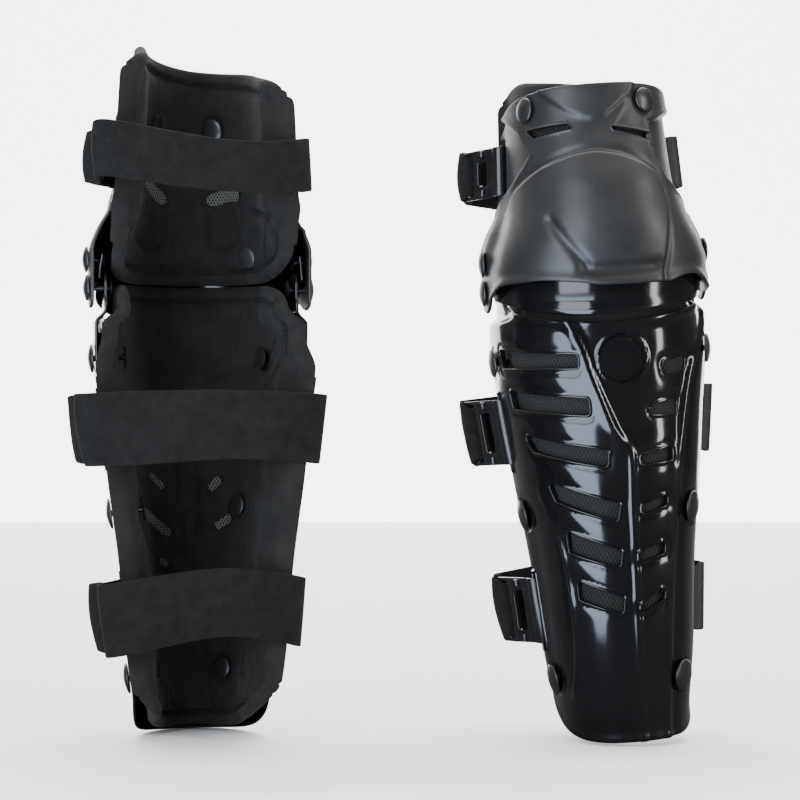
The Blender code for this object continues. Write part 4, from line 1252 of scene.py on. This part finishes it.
def buckle_piece(guard, name, strap):
    """A moulded hook plate: hook round the slot's bar, two windows, end lugs and grip ribs."""
    half = strap["width"] / 2 - 0.001
    inner, outer, length = 0.0040, 0.0062, 0.040
    arc = [math.radians(24 + 196 * k / 18) for k in range(19)]
    outline = [(inner * math.cos(t), inner * math.sin(t)) for t in arc]
    outline += [(outer * math.cos(t), outer * math.sin(t)) for t in reversed(arc)]
    outline += [(0.010, 0.0044), (0.022, 0.0058), (0.032, 0.0056), (length - 0.001, 0.0046), (length, 0.0032),
                (length - 0.001, 0.0019), (0.030, 0.0018), (0.012, 0.0017)]
    body = solid("body", *extruded(outline, -half, half))
    cuts = []
    for near, far, tall in ((0.0115, 0.0205, half - 0.009), (0.0265, 0.0355, half - 0.0025)):
        hole = []
        for fx, fz, start in ((far, tall, 0), (near, tall, 90), (near, -tall, 180), (far, -tall, 270)):
            r = 0.0022
            cx, cz = fx - math.copysign(r, fx - (near + far) / 2), fz - math.copysign(r, fz)
            hole += [(cx + r * math.cos(math.radians(start + t)), cz + r * math.sin(math.radians(start + t)))
                     for t in (0, 30, 60, 90)]
        verts, faces = extruded(hole, -0.02, 0.02)
        cuts.append(solid("cut", [(x, d, z) for x, z, d in verts], faces))
    for k, cut in enumerate(cuts):
        step = body.modifiers.new(f"cut_{k}", "BOOLEAN")
        step.operation, step.object = "DIFFERENCE", cut
    bevel = body.modifiers.new("bevel", "BEVEL")
    bevel.width, bevel.segments, bevel.limit_method, bevel.angle_limit = 0.0006, 3, "ANGLE", math.radians(35)
    parts = [body]
    for z in (-half + 0.0035, half - 0.0035):
        profile = [(-0.0026, 0.0016), (-0.0022, 0.0023), (0.0022, 0.0023), (0.0026, 0.0016)]
        verts, faces = turned(profile, (0.0150, 0.0056, z), (0, 0, 1), 24)
        parts.append(solid("lug", verts, faces))
    for k in range(5):
        z = (k - 2) * half * 0.32
        verts, faces = turned([(-half * 0.10, 0.0006), (-half * 0.09, 0.0011), (half * 0.09, 0.0011),
                               (half * 0.10, 0.0006)], (0.0373, 0.0050, z), (0, 0, 1), 12)
        parts.append(solid("rib", verts, faces))
    bpy.context.view_layer.update()
    depsgraph = bpy.context.evaluated_depsgraph_get()
    centre, slope = hook_line(strap), bar_slope(strap)
    verts, faces, total = [], [], 0
    for part in parts:
        mesh = part.evaluated_get(depsgraph).to_mesh()
        points = np.array([v.co for v in mesh.vertices])
        place = centre[:2] + points[:, :1] * AWAY + points[:, 1:2] * LEFT
        verts.append(np.stack([place[:, 0] - slope * points[:, 2], place[:, 1], centre[2] + points[:, 2]], 1))
        faces += [[v + total for v in p.vertices] for p in mesh.polygons]
        total += len(points)
    for obj in parts + cuts:
        bpy.data.objects.remove(obj)
    guard.piece(f"{name}_buckle", np.concatenate(verts), faces, LOOKS["buckle"], f"{name}_buckle",
                "buckle_plastic", [f"{name}_buckle"], crease=35)


# ---------------------------------------------------------------- stage

def softbox(name, place, aim, size, power, tint=(1, 1, 1)):
    light = bpy.data.lights.new(name, "AREA")
    light.shape, light.size, light.size_y = "RECTANGLE", size[0], size[1]
    light.energy, light.color = power, tint
    obj = bpy.data.objects.new(name, light)
    bpy.context.collection.objects.link(obj)
    obj.location = place
    obj.rotation_euler = (Vector(aim) - Vector(place)).to_track_quat("-Z", "Y").to_euler()
    obj.visible_camera = False


def plain(name, color, roughness=0.9, glow=0.0):
    found = bpy.data.materials.new(name)
    found.use_nodes = True
    shader = found.node_tree.nodes["Principled BSDF"]
    shader.inputs["Base Color"].default_value = (*color, 1)
    shader.inputs["Roughness"].default_value = roughness
    shader.inputs["Emission Color"].default_value = (*color, 1)
    shader.inputs["Emission Strength"].default_value = glow
    return found


def card(name, corners, look):
    mesh = bpy.data.meshes.new(name)
    mesh.from_pydata(corners, [], [(0, 1, 2, 3)])
    mesh.materials.append(look)
    obj = bpy.data.objects.new(name, mesh)
    bpy.context.collection.objects.link(obj)
    return obj


def studio():
    card("floor", [(-8, -8, 0), (8, -8, 0), (8, 8, 0), (-8, 8, 0)], plain("floor_paper", (0.92, 0.92, 0.92)))
    card("backdrop", [(-5, 3.0, -0.1), (5, 3.0, -0.1), (5, 3.0, 4.0), (-5, 3.0, 4.0)],
         plain("backdrop_paper", (0.9, 0.9, 0.9), 0.9, 3.6))
    flag = card("flag", [(-2.6, -3.2, -0.5), (2.6, -3.2, -0.5), (2.6, -3.2, 3.2), (-2.6, -3.2, 3.2)],
                plain("flag_cloth", (0.006, 0.006, 0.006)))
    apron = card("apron", [(-2.6, -3.2, 0.002), (2.6, -3.2, 0.002), (2.6, 2.9, 0.002), (-2.6, 2.9, 0.002)],
                 flag.data.materials[0])
    wings = [card(name, [(x, -3.2, 0.003), (x, 2.9, 0.003), (x, 2.9, 2.6), (x, -3.2, 2.6)],
                  flag.data.materials[0])
             for name, x in (("left_wing", -1.9), ("right_wing", 1.9))]
    strip = card("strip", [(0.012, -0.20, 0.005), (0.070, -0.235, 0.005), (-0.14, -1.50, 0.005),
                           (-1.45, -0.95, 0.005)],
                 plain("strip_light", (0.68, 0.80, 1.0), 0.9, 8.0))
    for only_reflected in [flag, apron, strip] + wings:
        only_reflected.visible_camera = only_reflected.visible_shadow = only_reflected.visible_diffuse = False
    world = bpy.data.worlds.new("studio")
    bpy.context.scene.world = world
    world.use_nodes = True
    world.node_tree.nodes["Background"].inputs["Color"].default_value = (1.0, 1.0, 1.0, 1)
    world.node_tree.nodes["Background"].inputs["Strength"].default_value = 0.85
    softbox("key", (-1.00, -1.62, 0.40), (0.15, 0, 0.22), (1.35, 1.9), 70, (0.84, 0.91, 1.0))
    softbox("side", (1.7, -0.9, 0.7), (0.1, 0, 0.25), (0.30, 1.6), 26)
    softbox("floor_wash", (0.0, 0.9, 2.6), (0.0, 0.9, 0.0), (4.0, 2.4), 150)
    camera = bpy.data.cameras.new("camera")
    camera.sensor_width, camera.lens = 36.0, 104.8
    obj = bpy.data.objects.new("camera", camera)
    bpy.context.collection.objects.link(obj)
    obj.location = (0.0, -1.7, 0.246)
    obj.rotation_euler = (math.radians(90), 0, 0)
    bpy.context.scene.camera = obj


studio()
for which in GUARDS:
    one = Guard(which)
    shin_shell(one)
    knee_shell(one)
    knee_band(one)
    vent_nets(one)
    rivets(one)
    badge(one)
    pads(one)
    for strap_name, strap_spec in STRAPS.items():
        strap_piece(one, strap_name, strap_spec)
        buckle_piece(one, strap_name, strap_spec)
